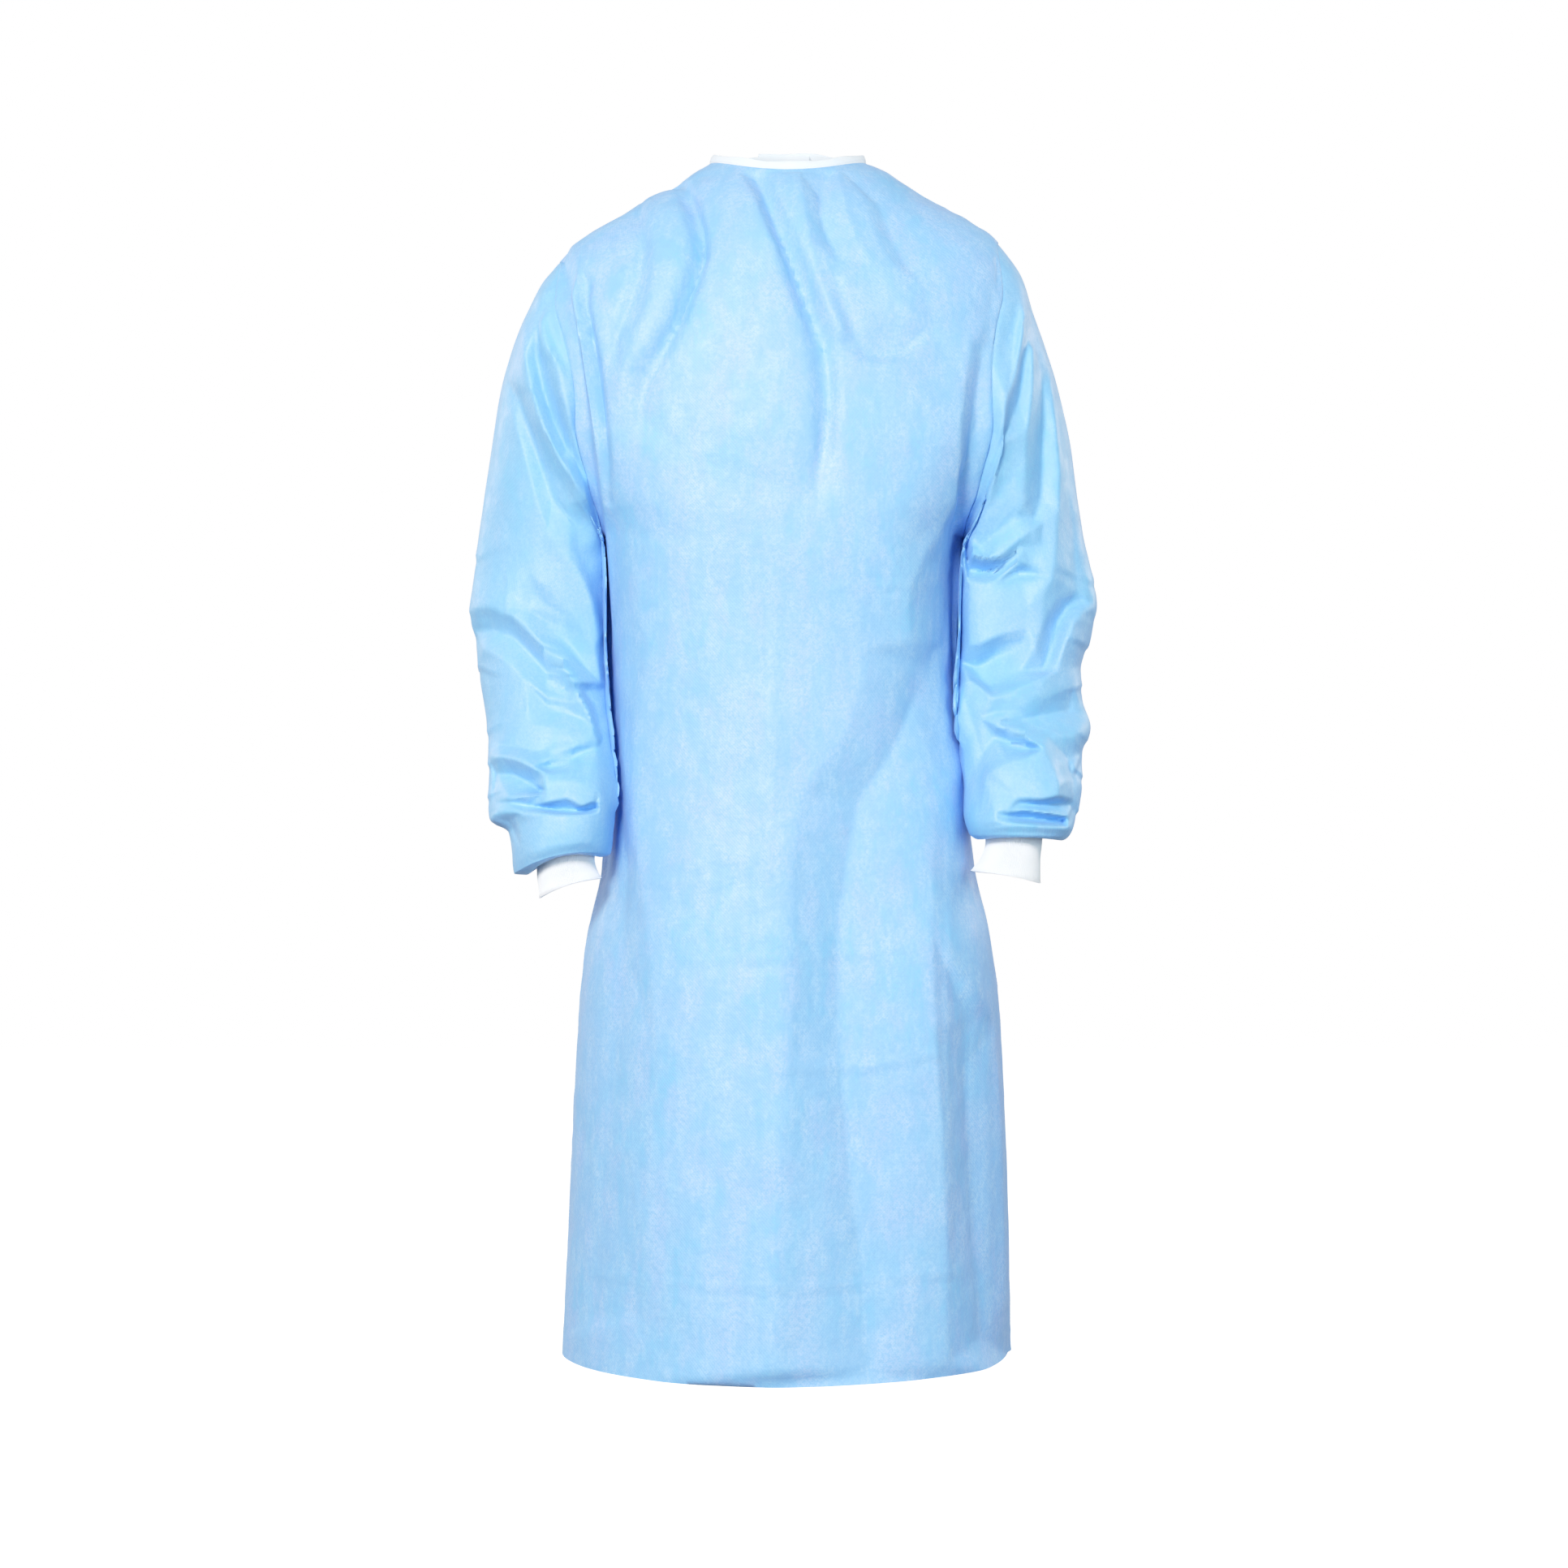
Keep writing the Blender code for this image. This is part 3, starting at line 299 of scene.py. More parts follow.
SLEEVE_RIGHT = (
    Ring(0.2352, -0.1240, 0.1792, -0.3816, 0.000, 0.073, 0.000),
    Ring(0.2532, -0.1569, 0.1811, -0.3877, 0.004, 0.074, 0.000),
    Ring(0.2680, -0.1908, 0.1813, -0.3954, 0.008, 0.074, 0.000),
    Ring(0.2804, -0.2304, 0.1808, -0.4071, 0.012, 0.073, 0.000),
    Ring(0.2886, -0.2743, 0.1793, -0.4230, 0.014, 0.072, 0.000),
    Ring(0.2945, -0.3159, 0.1778, -0.4390, 0.016, 0.071, 0.000),
    Ring(0.2994, -0.3544, 0.1771, -0.4550, 0.017, 0.070, 0.000),
    Ring(0.3042, -0.3947, 0.1763, -0.4711, 0.017, 0.069, 0.000),
    Ring(0.3103, -0.4472, 0.1761, -0.4914, 0.014, 0.068, 0.000),
    Ring(0.3049, -0.4756, 0.1765, -0.5077, 0.008, 0.066, 0.000),
    Ring(0.2992, -0.5160, 0.1776, -0.5280, 0.000, 0.064, 0.000),
    Ring(0.2909, -0.5643, 0.1773, -0.5643, -0.018, 0.062, 0.000),
    Ring(0.2875, -0.6002, 0.1769, -0.5963, -0.036, 0.060, 0.000),
    Ring(0.2860, -0.6278, 0.1752, -0.6199, -0.050, 0.058, 0.004),
    Ring(0.2834, -0.6490, 0.1738, -0.6356, -0.060, 0.057, 0.008),
    Ring(0.2640, -0.6640, 0.1750, -0.6480, -0.066, 0.055, 0.010),
    Ring(0.2605, -0.6823, 0.1732, -0.6667, -0.070, 0.054, 0.010),
    Ring(0.2588, -0.7030, 0.1728, -0.6840, -0.072, 0.053, 0.010),
    Ring(0.2470, -0.7040, 0.1785, -0.6869, -0.074, 0.044, 0.010),
    Ring(0.2395, -0.6930, 0.1810, -0.6760, -0.074, 0.036, 0.008),
    Ring(0.2385, -0.6784, 0.1810, -0.6651, -0.073, 0.034, 0.004),
)

# ---------------------------------------------------------------- the cuffs
CUFF_LEFT = (
    Ring(0.2480, -0.6740, 0.1925, -0.6730, -0.077, 0.033, 0.002),
    Ring(0.2462, -0.6900, 0.1895, -0.6840, -0.078, 0.032, 0.002),
    Ring(0.2462, -0.7118, 0.1785, -0.6995, -0.079, 0.033, 0.002),
)
CUFF_RIGHT = (
    Ring(0.2375, -0.7060, 0.1810, -0.6890, -0.075, 0.033, 0.006),
    Ring(0.2360, -0.7150, 0.1790, -0.6980, -0.076, 0.032, 0.004),
    Ring(0.2351, -0.7262, 0.1745, -0.7066, -0.077, 0.033, 0.004),
)

# ---------------------------------------------------------------- the largest folds
# A row for each fold: a curve through three points of the front view (or of the back's, seen
# from the front), how far it reaches to each side and how far it stands out. A trough has a
# negative height.
Fold = namedtuple("Fold", "x0 z0 x1 z1 x2 z2 reach height")
FOLD_FADE = 10.0          # degrees from a seam within which a fold dies out
FRONT_FOLDS = (
    Fold(-0.016, -0.044, 0.014, -0.140, 0.030, -0.330, 0.016, -0.0075),   # from the neck's centre
    Fold(0.030, -0.055, 0.050, -0.120, 0.075, -0.200, 0.018, 0.0060),     # ridge beside it
    Fold(-0.092, -0.055, -0.074, -0.110, -0.125, -0.235, 0.016, -0.0070),  # right neck to armhole
    Fold(-0.138, -0.075, -0.132, -0.140, -0.165, -0.215, 0.016, -0.0060),  # right shoulder
    Fold(-0.110, -0.070, -0.102, -0.130, -0.145, -0.230, 0.014, 0.0045),  # ridge between them
    Fold(0.050, -0.050, 0.090, -0.155, 0.150, -0.215, 0.022, -0.0060),    # left neck to armhole
    Fold(0.172, -0.350, 0.110, -0.450, 0.064, -0.540, 0.040, -0.0060),    # left underarm to waist
    Fold(-0.013, -0.560, -0.006, -0.850, -0.012, -1.180, 0.022, 0.0080),  # middle of the skirt
    Fold(0.060, -0.620, 0.085, -0.850, 0.070, -1.180, 0.045, -0.0090),    # hollow beside it
    Fold(-0.130, -0.560, -0.128, -0.850, -0.140, -1.180, 0.040, -0.0060),  # hollow, right skirt
    Fold(0.176, -0.760, 0.183, -0.950, 0.185, -1.180, 0.020, 0.0050),     # left edge of the skirt
)
BACK_FOLDS = (
    Fold(0.140, -0.140, 0.115, -0.230, 0.060, -0.330, 0.022, -0.0060),    # left shoulder blade
    Fold(-0.150, -0.150, -0.120, -0.250, -0.085, -0.380, 0.024, -0.0055),  # right shoulder blade
    Fold(0.105, -0.560, 0.118, -0.850, 0.125, -1.170, 0.030, -0.0080),    # left skirt
    Fold(-0.120, -0.600, -0.132, -0.880, -0.125, -1.170, 0.034, -0.0070),  # right skirt
    Fold(0.020, -0.790, 0.012, -0.950, 0.022, -1.170, 0.032, -0.0060),    # below the tails
)
SLEEVE_LEFT_FOLDS = (
    Fold(0.201, -0.400, 0.222, -0.386, 0.240, -0.377, 0.013, 0.0050),
    Fold(0.178, -0.424, 0.207, -0.421, 0.238, -0.413, 0.012, -0.0060),
    Fold(0.264, -0.400, 0.254, -0.420, 0.239, -0.439, 0.014, 0.0045),
    Fold(0.305, -0.441, 0.285, -0.449, 0.262, -0.465, 0.012, -0.0055),    # elbow
    Fold(0.219, -0.470, 0.200, -0.480, 0.180, -0.489, 0.013, -0.0050),
    Fold(0.262, -0.508, 0.230, -0.524, 0.203, -0.535, 0.012, -0.0050),
    Fold(0.253, -0.524, 0.232, -0.541, 0.209, -0.560, 0.012, 0.0055),
    Fold(0.250, -0.584, 0.222, -0.600, 0.194, -0.613, 0.012, 0.0050),
    Fold(0.215, -0.646, 0.244, -0.646, 0.276, -0.650, 0.010, -0.0050),    # above the roll
)
SLEEVE_RIGHT_FOLDS = (
    Fold(-0.218, -0.340, -0.203, -0.404, -0.172, -0.460, 0.014, 0.0060),
    Fold(-0.192, -0.405, -0.180, -0.435, -0.167, -0.468, 0.012, -0.0060),
    Fold(-0.259, -0.455, -0.206, -0.512, -0.180, -0.565, 0.014, 0.0060),
    Fold(-0.300, -0.470, -0.262, -0.464, -0.217, -0.516, 0.012, -0.0050),  # elbow
    Fold(-0.236, -0.600, -0.207, -0.586, -0.182, -0.572, 0.013, -0.0050),
    Fold(-0.284, -0.592, -0.234, -0.604, -0.178, -0.619, 0.012, 0.0055),
    Fold(-0.284, -0.612, -0.240, -0.622, -0.214, -0.632, 0.010, -0.0055),  # above the roll
)


# ---------------------------------------------------------------- creases and nets of facets
# A row for each crease: its line through corners, how far it reaches before and after the line (on
# its left and right hand), its height, the dip behind it on the after side, and the length over
# which its ends die out, all of them in millimetres. A line of a net runs along a crest or a valley,
# and its points have a height too. In the tables from here to the nets, places (x, y) are pixels of
# the photo, which on_solid() turns into places on the solids.
Crease = namedtuple("Crease", "line before after height lip fade")
FRONT_CREASES = (
    Crease(((1020, 725), (1100, 724), (1180, 726)), 2.4, 2.4, 0.7, 0.5, 12),
    Crease(((777, 1087), (846, 1088), (915, 1087)), 2.6, 2.6, 0.7, 0.5, 12),
    Crease(((965, 1041), (1010, 1028), (1057, 1021), (1130, 1022), (1195, 1023)), 2.6, 3, 0.8, 0.6, 12),
    Crease(((961, 1057), (1070, 1047), (1186, 1039)), 2.4, 2.4, 0.5, 0.4, 14),
    Crease(((970, 960), (1045, 974), (1120, 985)), 2.6, 2.6, 0.6, 0.4, 14),
    Crease(((800, 1184), (880, 1185), (965, 1184), (1060, 1176), (1158, 1163)), 2.6, 3, 0.8, 0.6, 14),
    Crease(((947, 1317), (1057, 1317), (1110, 1309), (1168, 1296)), 4, 3, 1.2, 0.8, 14),
    Crease(((988, 1358), (1020, 1342), (1057, 1321)), 2.6, 2.6, 0.7, 0.5, 10),
    Crease(((965, 1390), (1050, 1364), (1140, 1335)), 2.4, 2.4, 0.5, 0.4, 14),
    Crease(((717, 1569), (780, 1579), (841, 1585), (975, 1591), (1040, 1586), (1103, 1578),
            (1195, 1565)), 2.8, 3, 0.9, 0.7, 14),
    Crease(((946, 560), (951, 700), (952, 850), (948, 1000), (945, 1150), (953, 1350),
            (955, 1592)), 3, 3, 0.9, 0.6, 20),
    Crease(((1227, 1298), (1232, 1440), (1239, 1592)), 3, 3, 0.9, 0.5, 20),
    Crease(((1219, 1255), (1221, 1400), (1225, 1560)), 2.6, 2.6, 0.6, 0.5, 20),
    Crease(((724, 1399), (728, 1480), (731, 1560)), 2.8, 2.8, 0.6, 0.4, 16),
    Crease(((773, 1413), (779, 1466), (786, 1519)), 2.6, 2.6, 0.5, 0.3, 14),
    Crease(((1163, 780), (1167, 1000), (1166, 1200), (1168, 1400), (1166, 1600)), 5, 3, 0.8, 0, 60),
    Crease(((1183, 430), (1185, 450), (1186, 470)), 2.6, 2.6, 0.8, 0.5, 6),
    Crease(((1140, 480), (1143, 510), (1142, 540)), 2.6, 2.6, 0.5, 0.3, 8),
    Crease(((1155, 745), (1170, 765), (1176, 785)), 2.6, 2.6, 0.8, 0.6, 8),
    Crease(((1227, 315), (1229, 335), (1229, 355)), 2.6, 2.6, -1.2, 0, 6),
    Crease(((1236, 330), (1243, 355), (1247, 375)), 2.6, 2.6, 0.9, 0, 6),
)
SLEEVE_LEFT_CREASES = (
    Crease(((1221, 522), (1230, 518), (1239, 513)), 2.6, 2.6, -1.2, 0, 4),
    Crease(((1243, 525), (1233, 540), (1224, 555)), 2.6, 2.6, -1.2, 0, 4),
    Crease(((1226, 586), (1232, 580), (1238, 577)), 2.6, 2.6, -0.9, 0, 3),
    Crease(((1237, 347), (1236, 370), (1235, 392)), 2.6, 2.6, 0.8, 0, 6),
    Crease(((1208, 686), (1220, 683), (1232, 678)), 2.6, 2.6, 0.9, 0, 4),
    Crease(((1252, 632), (1262, 620), (1270, 606)), 2.6, 2.6, 0.8, 0, 5),
    Crease(((1195, 690), (1194, 706), (1195, 720)), 2.6, 2.6, -1, 0, 4),
    Crease(((1181, 852), (1186, 846), (1191, 840)), 2.6, 2.6, 1, 0, 4),
    Crease(((1202, 808), (1203, 828), (1206, 846)), 2.6, 2.6, 0.9, 0, 6),
    Crease(((1260, 936), (1262, 955), (1258, 975)), 2.6, 2.6, 0.6, 0, 6),
    Crease(((1248, 960), (1275, 965), (1298, 964)), 2.6, 2.6, 0.6, 0, 6),
    Crease(((1330, 700), (1328, 720), (1330, 738)), 2.6, 2.6, 0.6, 0, 6),
)
SLEEVE_RIGHT_CREASES = (
    Crease(((693, 631), (708, 631), (723, 630)), 2.6, 2.6, -1.4, 0, 5),
    Crease(((646, 440), (650, 470), (660, 505)), 2.6, 2.6, -0.8, 0, 6),
    Crease(((707, 558), (717, 564), (728, 565)), 2.6, 2.6, -1.4, 0, 3),
    Crease(((625, 490), (633, 500)), 2.6, 2.6, -0.8, 0, 2),
    Crease(((624, 700), (624, 730), (626, 760)), 2.6, 2.6, 0.8, 0.5, 8),
    Crease(((711, 836), (709, 845), (712, 850)), 2.6, 2.6, -1.2, 0, 2),
    Crease(((650, 850), (650, 865), (649, 880)), 2.6, 2.6, 0.7, 0.5, 6),
    Crease(((614, 1000), (608, 1008), (605, 1014)), 2.6, 2.6, 1.2, 0.8, 3),
    Crease(((655, 908), (690, 906), (715, 906)), 2.6, 2.6, 0.7, 0, 8),
)
FRONT_NET = (
    ((842, 225, -3), (853, 258, -5), (864, 290, -6), (865, 316, -6), (854, 350, -5.5), (838, 390, -5),
     (818, 430, -4), (800, 462, -2)),
    ((852, 222, 0), (865, 255, 1), (874, 290, 1.5), (875, 320, 1.5), (863, 356, 1.5), (847, 396, 1),
     (828, 436, 0.5), (808, 470, 0)),
    ((828, 230, 1), (840, 262, 0.8), (849, 293, 0.3), (849, 318, 0.3), (840, 348, 0.5), (824, 386, 0.6),
     (804, 424, 0.4), (788, 450, 0)),
    ((798, 245, 2), (806, 290, 3), (809, 330, 3.5), (802, 370, 3.5), (789, 405, 3), (776, 440, 2)),
    ((766, 420, 1.5), (768, 460, 2), (772, 500, 1), (778, 540, 0)),
    ((790, 455, -2), (791, 485, -2.5), (787, 515, -1.5), (784, 545, 0)),
    ((779, 270, 1), (783, 310, 1.5), (775, 350, 1.5), (763, 385, 1.5), (752, 415, 1)),
    ((785, 268, -0.5), (791, 310, -0.5), (783, 350, -0.5), (770, 392, -0.5), (760, 420, -0.5)),
    ((716, 330, 2), (709, 365, 3), (715, 400, 3.5), (723, 450, 3), (731, 510, 2.5), (737, 560, 2),
     (744, 620, 1)),
    ((722, 345, -1), (718, 372, -4), (724, 405, -5), (731, 450, -5), (739, 510, -4.5), (744, 560, -3.5),
     (749, 620, -1)),
    ((733, 345, 0.5), (730, 375, 1), (737, 410, 1), (744, 455, 1), (751, 512, 1), (755, 565, 0.5),
     (757, 625, 0)),
    ((702, 362, -2), (708, 400, -2.5), (716, 450, -2)),
    ((909, 212, 1), (917, 225, 1.5), (932, 255, 2.5), (944, 285, 3), (955, 310, 3), (966, 340, 3),
     (977, 370, 3), (987, 400, 3), (994, 430, 3), (998, 470, 3), (1000, 515, 2.5), (1000, 565, 1.5),
     (999, 615, 0)),
    ((931, 213, -3), (937, 225, -3.5), (950, 258, -4.5), (962, 288, -5), (973, 315, -5), (984, 345, -5),
     (995, 375, -5), (1005, 402, -4.5), (1016, 428, -4), (1020, 465, -4), (1021, 500, -4), (1017, 545, -3),
     (1007, 585, -1)),
    ((949, 214, 0.8), (960, 240, 1), (974, 272, 1.5), (989, 305, 2), (1004, 340, 2.5), (1021, 378, 3),
     (1034, 405, 2.5)),
    ((1030, 428, 0), (1036, 470, 0.5), (1036, 505, 0.5), (1030, 560, 0)),
    ((985, 214, 1), (986, 232, 1.5), (990, 265, 2), (999, 300, 2.5)),
    ((1024, 211, -1), (1021, 216, -1.5), (1012, 238, -4), (1013, 262, -4), (1021, 290, -3.5),
     (1034, 318, -1.5)),
    ((1034, 211, 1), (1034, 230, 2), (1041, 260, 2.5), (1055, 293, 2.5), (1074, 325, 2.5), (1094, 346, 2)),
    ((1062, 240, 1), (1072, 270, 1), (1084, 302, 1), (1104, 332, 1)),
    ((1084, 250, -1.5), (1096, 285, -2), (1114, 318, -2), (1138, 350, -1)),
    ((1028, 345, 0), (1044, 385, -1.5), (1056, 420, -3), (1068, 434, -4), (1090, 437, -4), (1118, 431, -3),
     (1150, 405, -1)),
    ((1060, 447, 0.5), (1090, 450, 0.8), (1122, 443, 0.5)),
    ((1090, 375, 1.5), (1120, 385, 1.5)),
    ((1196, 420, 1), (1188, 470, 1.5), (1182, 520, 2), (1180, 570, 2.5), (1176, 615, 3), (1157, 650, 3),
     (1137, 685, 3), (1121, 718, 3), (1116, 745, 2.5), (1122, 790, 1)),
    ((1214, 440, -2), (1205, 490, -3), (1200, 540, -4), (1196, 585, -5), (1190, 612, -7), (1186, 650, -5),
     (1180, 700, -5), (1178, 740, -5), (1172, 790, -4)),
    ((1226, 340, 0), (1232, 380, -1), (1228, 420, -1.5)),
    ((1085, 750, 1), (1064, 800, 1.5), (1057, 850, 2), (1046, 895, 2), (1010, 945, 3), (986, 985, 3.5),
     (975, 1050, 4), (970, 1150, 4.5), (967, 1300, 4.5), (963, 1420, 4), (957, 1560, 3.5), (955, 1690, 3)),
    ((1140, 820, -4), (1130, 870, -5), (1100, 935, -5), (1062, 985, -5), (1046, 1060, -5),
     (1036, 1150, -5.5), (1036, 1260, -5.5), (1046, 1400, -5), (1064, 1550, -4), (1075, 1690, -3)),
    ((1190, 945, 3), (1160, 965, 3), (1148, 1000, 2.5), (1146, 1060, 2), (1146, 1150, 2), (1150, 1270, 2.5),
     (1160, 1400, 2.5), (1164, 1550, 2), (1166, 1680, 1.5)),
    ((1196, 1250, -4), (1200, 1320, -7), (1206, 1420, -7), (1212, 1550, -6), (1216, 1650, -5)),
    ((1226, 1260, 0), (1230, 1350, 0.5), (1235, 1450, 0.5), (1240, 1600, 0)),
    ((800, 800, 0.5), (785, 880, 1.5), (782, 960, 2), (786, 1060, 2), (800, 1150, 1.5), (810, 1300, 1.5),
     (800, 1450, 1), (790, 1620, 0.5)),
    ((751, 820, -3), (752, 900, -4), (754, 980, -4), (762, 1060, -4), (762, 1150, -3), (752, 1320, -3),
     (738, 1450, -3), (726, 1620, -2)),
    ((850, 560, 0.5), (850, 760, 0.5), (870, 960, 0)),
    ((700, 1350, 0), (696, 1500, 0), (694, 1640, 0)),
)
SLEEVE_LEFT_NET = (
    ((1275, 400, 0), (1292, 450, 0), (1308, 510, 0), (1318, 580, 0), (1328, 640, 0), (1338, 700, 0),
     (1346, 742, 1)),
    ((1344, 775, 0), (1335, 810, 0.5), (1331, 840, 1.5), (1341, 884, -1.5), (1336, 925, 0), (1324, 945, 0)),
    ((1256, 372, -1), (1255, 402, -2), (1249, 440, -2), (1245, 465, -1)),
    ((1262, 385, 1), (1260, 420, 1.5), (1253, 462, 1), (1240, 490, 1), (1232, 540, 1)),
    ((1268, 415, -2), (1263, 455, -3), (1256, 492, -3), (1244, 520, -2.5), (1232, 545, -1)),
    ((1274, 430, 2), (1272, 480, 2.5), (1266, 530, 2.5), (1262, 580, 2), (1258, 620, 1.5)),
    ((1272, 395, 0), (1280, 435, -2), (1285, 475, -3), (1288, 520, -3.5), (1286, 570, -3.5),
     (1283, 615, -3), (1276, 640, -1.5)),
    ((1296, 480, 1.5), (1302, 530, 2.5), (1306, 580, 3), (1304, 630, 3), (1299, 680, 3), (1296, 712, 3.5),
     (1282, 732, 3), (1266, 748, 2)),
    ((1316, 600, 0.5), (1322, 650, -1.5), (1325, 700, -2.5), (1328, 728, -2.5)),
    ((1224, 683, 1.5), (1250, 666, 2.5), (1272, 651, 2), (1286, 640, 1)),
    ((1215, 640, -1), (1235, 650, -0.5), (1255, 640, -0.5)),
    ((1236, 676, 0), (1262, 672, 0.5), (1282, 672, 0.5)),
    ((1196, 664, -5), (1206, 676, -5), (1212, 684, -3)),
    ((1194, 688, 1), (1212, 690, 3), (1232, 689, 3.5), (1252, 692, 3), (1272, 698, 1.5)),
    ((1189, 706, -7), (1208, 704, -8), (1228, 702, -7), (1246, 704, -4), (1264, 707, -2)),
    ((1188, 722, 2), (1208, 721, 3), (1224, 718, 3.5), (1232, 712, 2.5), (1262, 716, 1.5)),
    ((1347, 747, 2), (1332, 756, 4), (1320, 772, 4.5), (1309, 798, 4), (1298, 826, 3)),
    ((1334, 741, -3), (1317, 747, -5), (1306, 768, -5), (1297, 796, -4.5), (1288, 824, -2.5)),
    ((1300, 740, 0.5), (1285, 765, 1.5), (1275, 795, 1.5)),
    ((1188, 798, 2), (1205, 793, 4), (1225, 785, 4.5), (1246, 777, 4), (1264, 775, 2)),
    ((1180, 818, -7), (1198, 822, -9), (1214, 818, -9), (1232, 805, -6), (1250, 793, -3), (1262, 788, 0)),
    ((1208, 836, -8), (1220, 845, -6.5), (1236, 838, -3.5), (1256, 828, -1)),
    ((1180, 856, 1), (1188, 838, 2.5), (1206, 848, 4), (1222, 860, 5.5), (1250, 850, 6), (1278, 838, 5.5),
     (1304, 826, 4.5), (1328, 812, 2.5)),
    ((1205, 885, 0), (1250, 872, 1.5), (1290, 858, 2), (1322, 846, 2)),
    ((1236, 894, -1), (1262, 888, -3), (1290, 881, -4.5), (1318, 876, -5), (1341, 884, -3)),
    ((1230, 896, 3), (1250, 901, 4.5), (1268, 913, 5), (1284, 925, 5.5)),
    ((1226, 909, -4), (1244, 915, -6), (1260, 921, -6), (1270, 924, -4)),
    ((1210, 930, -5), (1226, 909, -4)),
    ((1290, 905, 1), (1320, 908, 1)),
    ((1212, 960, 2), (1222, 949, 4), (1237, 941, 4.5), (1258, 935, 5), (1284, 925, 5.5), (1297, 945, 5),
     (1304, 965, 5), (1303, 981, 4.5), (1284, 984, 4), (1254, 984, 3)),
    ((1316, 935, -2), (1322, 962, -3), (1322, 985, -3)),
    ((1252, 990, 0), (1275, 991, -2.5), (1300, 991, -4), (1322, 992, -4)),
    ((1225, 1000, 3.5), (1242, 1000, 3), (1262, 998, 3), (1290, 1002, 3), (1316, 1006, 2)),
    ((1238, 1005, 0), (1254, 1005, -5), (1280, 1008, -6), (1312, 1012, -6)),
    ((1226, 1012, 3.5), (1246, 1013, 3), (1280, 1017, 3), (1314, 1020, 2.5)),
    ((1204, 990, 1), (1204, 1018, 1)),
)
SLEEVE_RIGHT_NET = (
    ((640, 388, 0), (626, 440, 0), (610, 500, 0), (601, 560, 0), (594, 640, 0), (585, 700, 0),
     (581, 752, 0.5)),
    ((584, 777, -2.5), (588, 815, 0), (596, 870, 0), (601, 910, 0), (603, 932, 1)),
    ((652, 372, 1), (646, 402, 3), (648, 440, 4.5), (654, 480, 5), (668, 522, 5), (688, 562, 4.5),
     (710, 596, 4), (733, 626, 3)),
    ((664, 395, -2), (661, 440, -3), (668, 478, -4.5), (681, 516, -5), (699, 552, -5.5), (722, 585, -6)),
    ((677, 446, 0), (690, 482, 1), (706, 520, 1.5), (722, 550, 1)),
    ((668, 398, 1), (672, 424, 2), (688, 448, 2.5), (703, 468, 2)),
    ((678, 370, -2), (682, 405, -3), (693, 438, -2)),
    ((622, 468, 0.5), (634, 518, 2), (649, 572, 2.5), (665, 625, 2.5), (682, 668, 2)),
    ((640, 492, -1), (651, 530, -2), (667, 578, -2.5), (682, 622, -2.5), (693, 655, -2)),
    ((694, 632, 1.5), (700, 660, 2.5), (703, 690, 3), (713, 704, 3), (725, 722, 2.5), (734, 750, 2),
     (742, 788, 1)),
    ((709, 642, -1), (714, 680, -2), (729, 708, -4), (738, 735, -6), (745, 770, -7)),
    ((733, 640, -3), (740, 668, -5), (748, 690, -9), (750, 730, -10), (751, 780, -9)),
    ((632, 757, 2.5), (655, 780, 4), (681, 806, 5), (700, 828, 5.5), (709, 841, 5.5)),
    ((646, 750, 0), (672, 765, -2.5), (697, 790, -4), (722, 820, -5), (744, 842, -5.5)),
    ((652, 706, 1), (668, 719, 2), (690, 742, 2), (712, 766, 1.5), (738, 806, 0)),
    ((660, 735, -0.5), (680, 752, -0.5), (700, 768, -0.5)),
    ((584, 777, -2.5), (610, 777, -4), (633, 786, -4), (655, 808, -4), (678, 832, -3.5), (698, 852, -2)),
    ((590, 748, 1.5), (612, 752, 2), (632, 757, 2.5)),
    ((598, 800, 2), (622, 812, 2.5), (648, 838, 2.5), (676, 860, 1.5), (700, 868, 0.5)),
    ((709, 841, 5.5), (712, 850, 4), (722, 868, 2.5), (732, 898, 2), (740, 914, 0.5)),
    ((721, 853, -5), (732, 872, -7), (740, 892, -7), (747, 908, -5)),
    ((721, 853, -5), (750, 850, -10), (752, 880, -10), (747, 908, -5)),
    ((672, 868, -1.5), (700, 878, -2), (727, 890, -2)),
    ((610, 880, 0.5), (650, 892, 1), (700, 900, 1.5), (730, 906, 1.5)),
    ((733, 909, 1.5), (713, 917, 2.5), (690, 929, 2.5), (668, 938, 2.5)),
    ((739, 920, -1.5), (714, 927, -2.5), (692, 939, -3), (674, 946, -2.5)),
    ((612, 918, -1), (640, 920, -1.5), (662, 926, -1.5)),
    ((603, 932, 1), (620, 933, 3.5), (640, 936, 4.5), (656, 944, 5), (671, 952, 5), (700, 961, 4.5),
     (724, 967, 4), (739, 970, 3)),
    ((608, 952, -3), (634, 956, -5.5), (654, 966, -6.5), (667, 974, -6)),
    ((608, 988, -1), (630, 983, 3), (650, 980, 3.5), (669, 977, 3)),
    ((671, 952, 5), (672, 970, 4.5), (675, 987, 3.5), (700, 982, 4), (720, 993, 3.5), (737, 987, 3)),
    ((628, 990, 0), (652, 994, -3.5), (680, 998, -5), (705, 999, -5), (724, 999, -5), (738, 994, -3)),
    ((606, 1006, 0.5), (622, 1000, 2), (644, 1001, 3), (680, 1003, 3.5), (720, 1004, 3.5), (740, 1000, 3)),
    ((628, 1012, -1), (640, 1018, 3), (643, 1044, 2.5)),
    ((680, 1045, 2), (735, 1043, 2)),
)

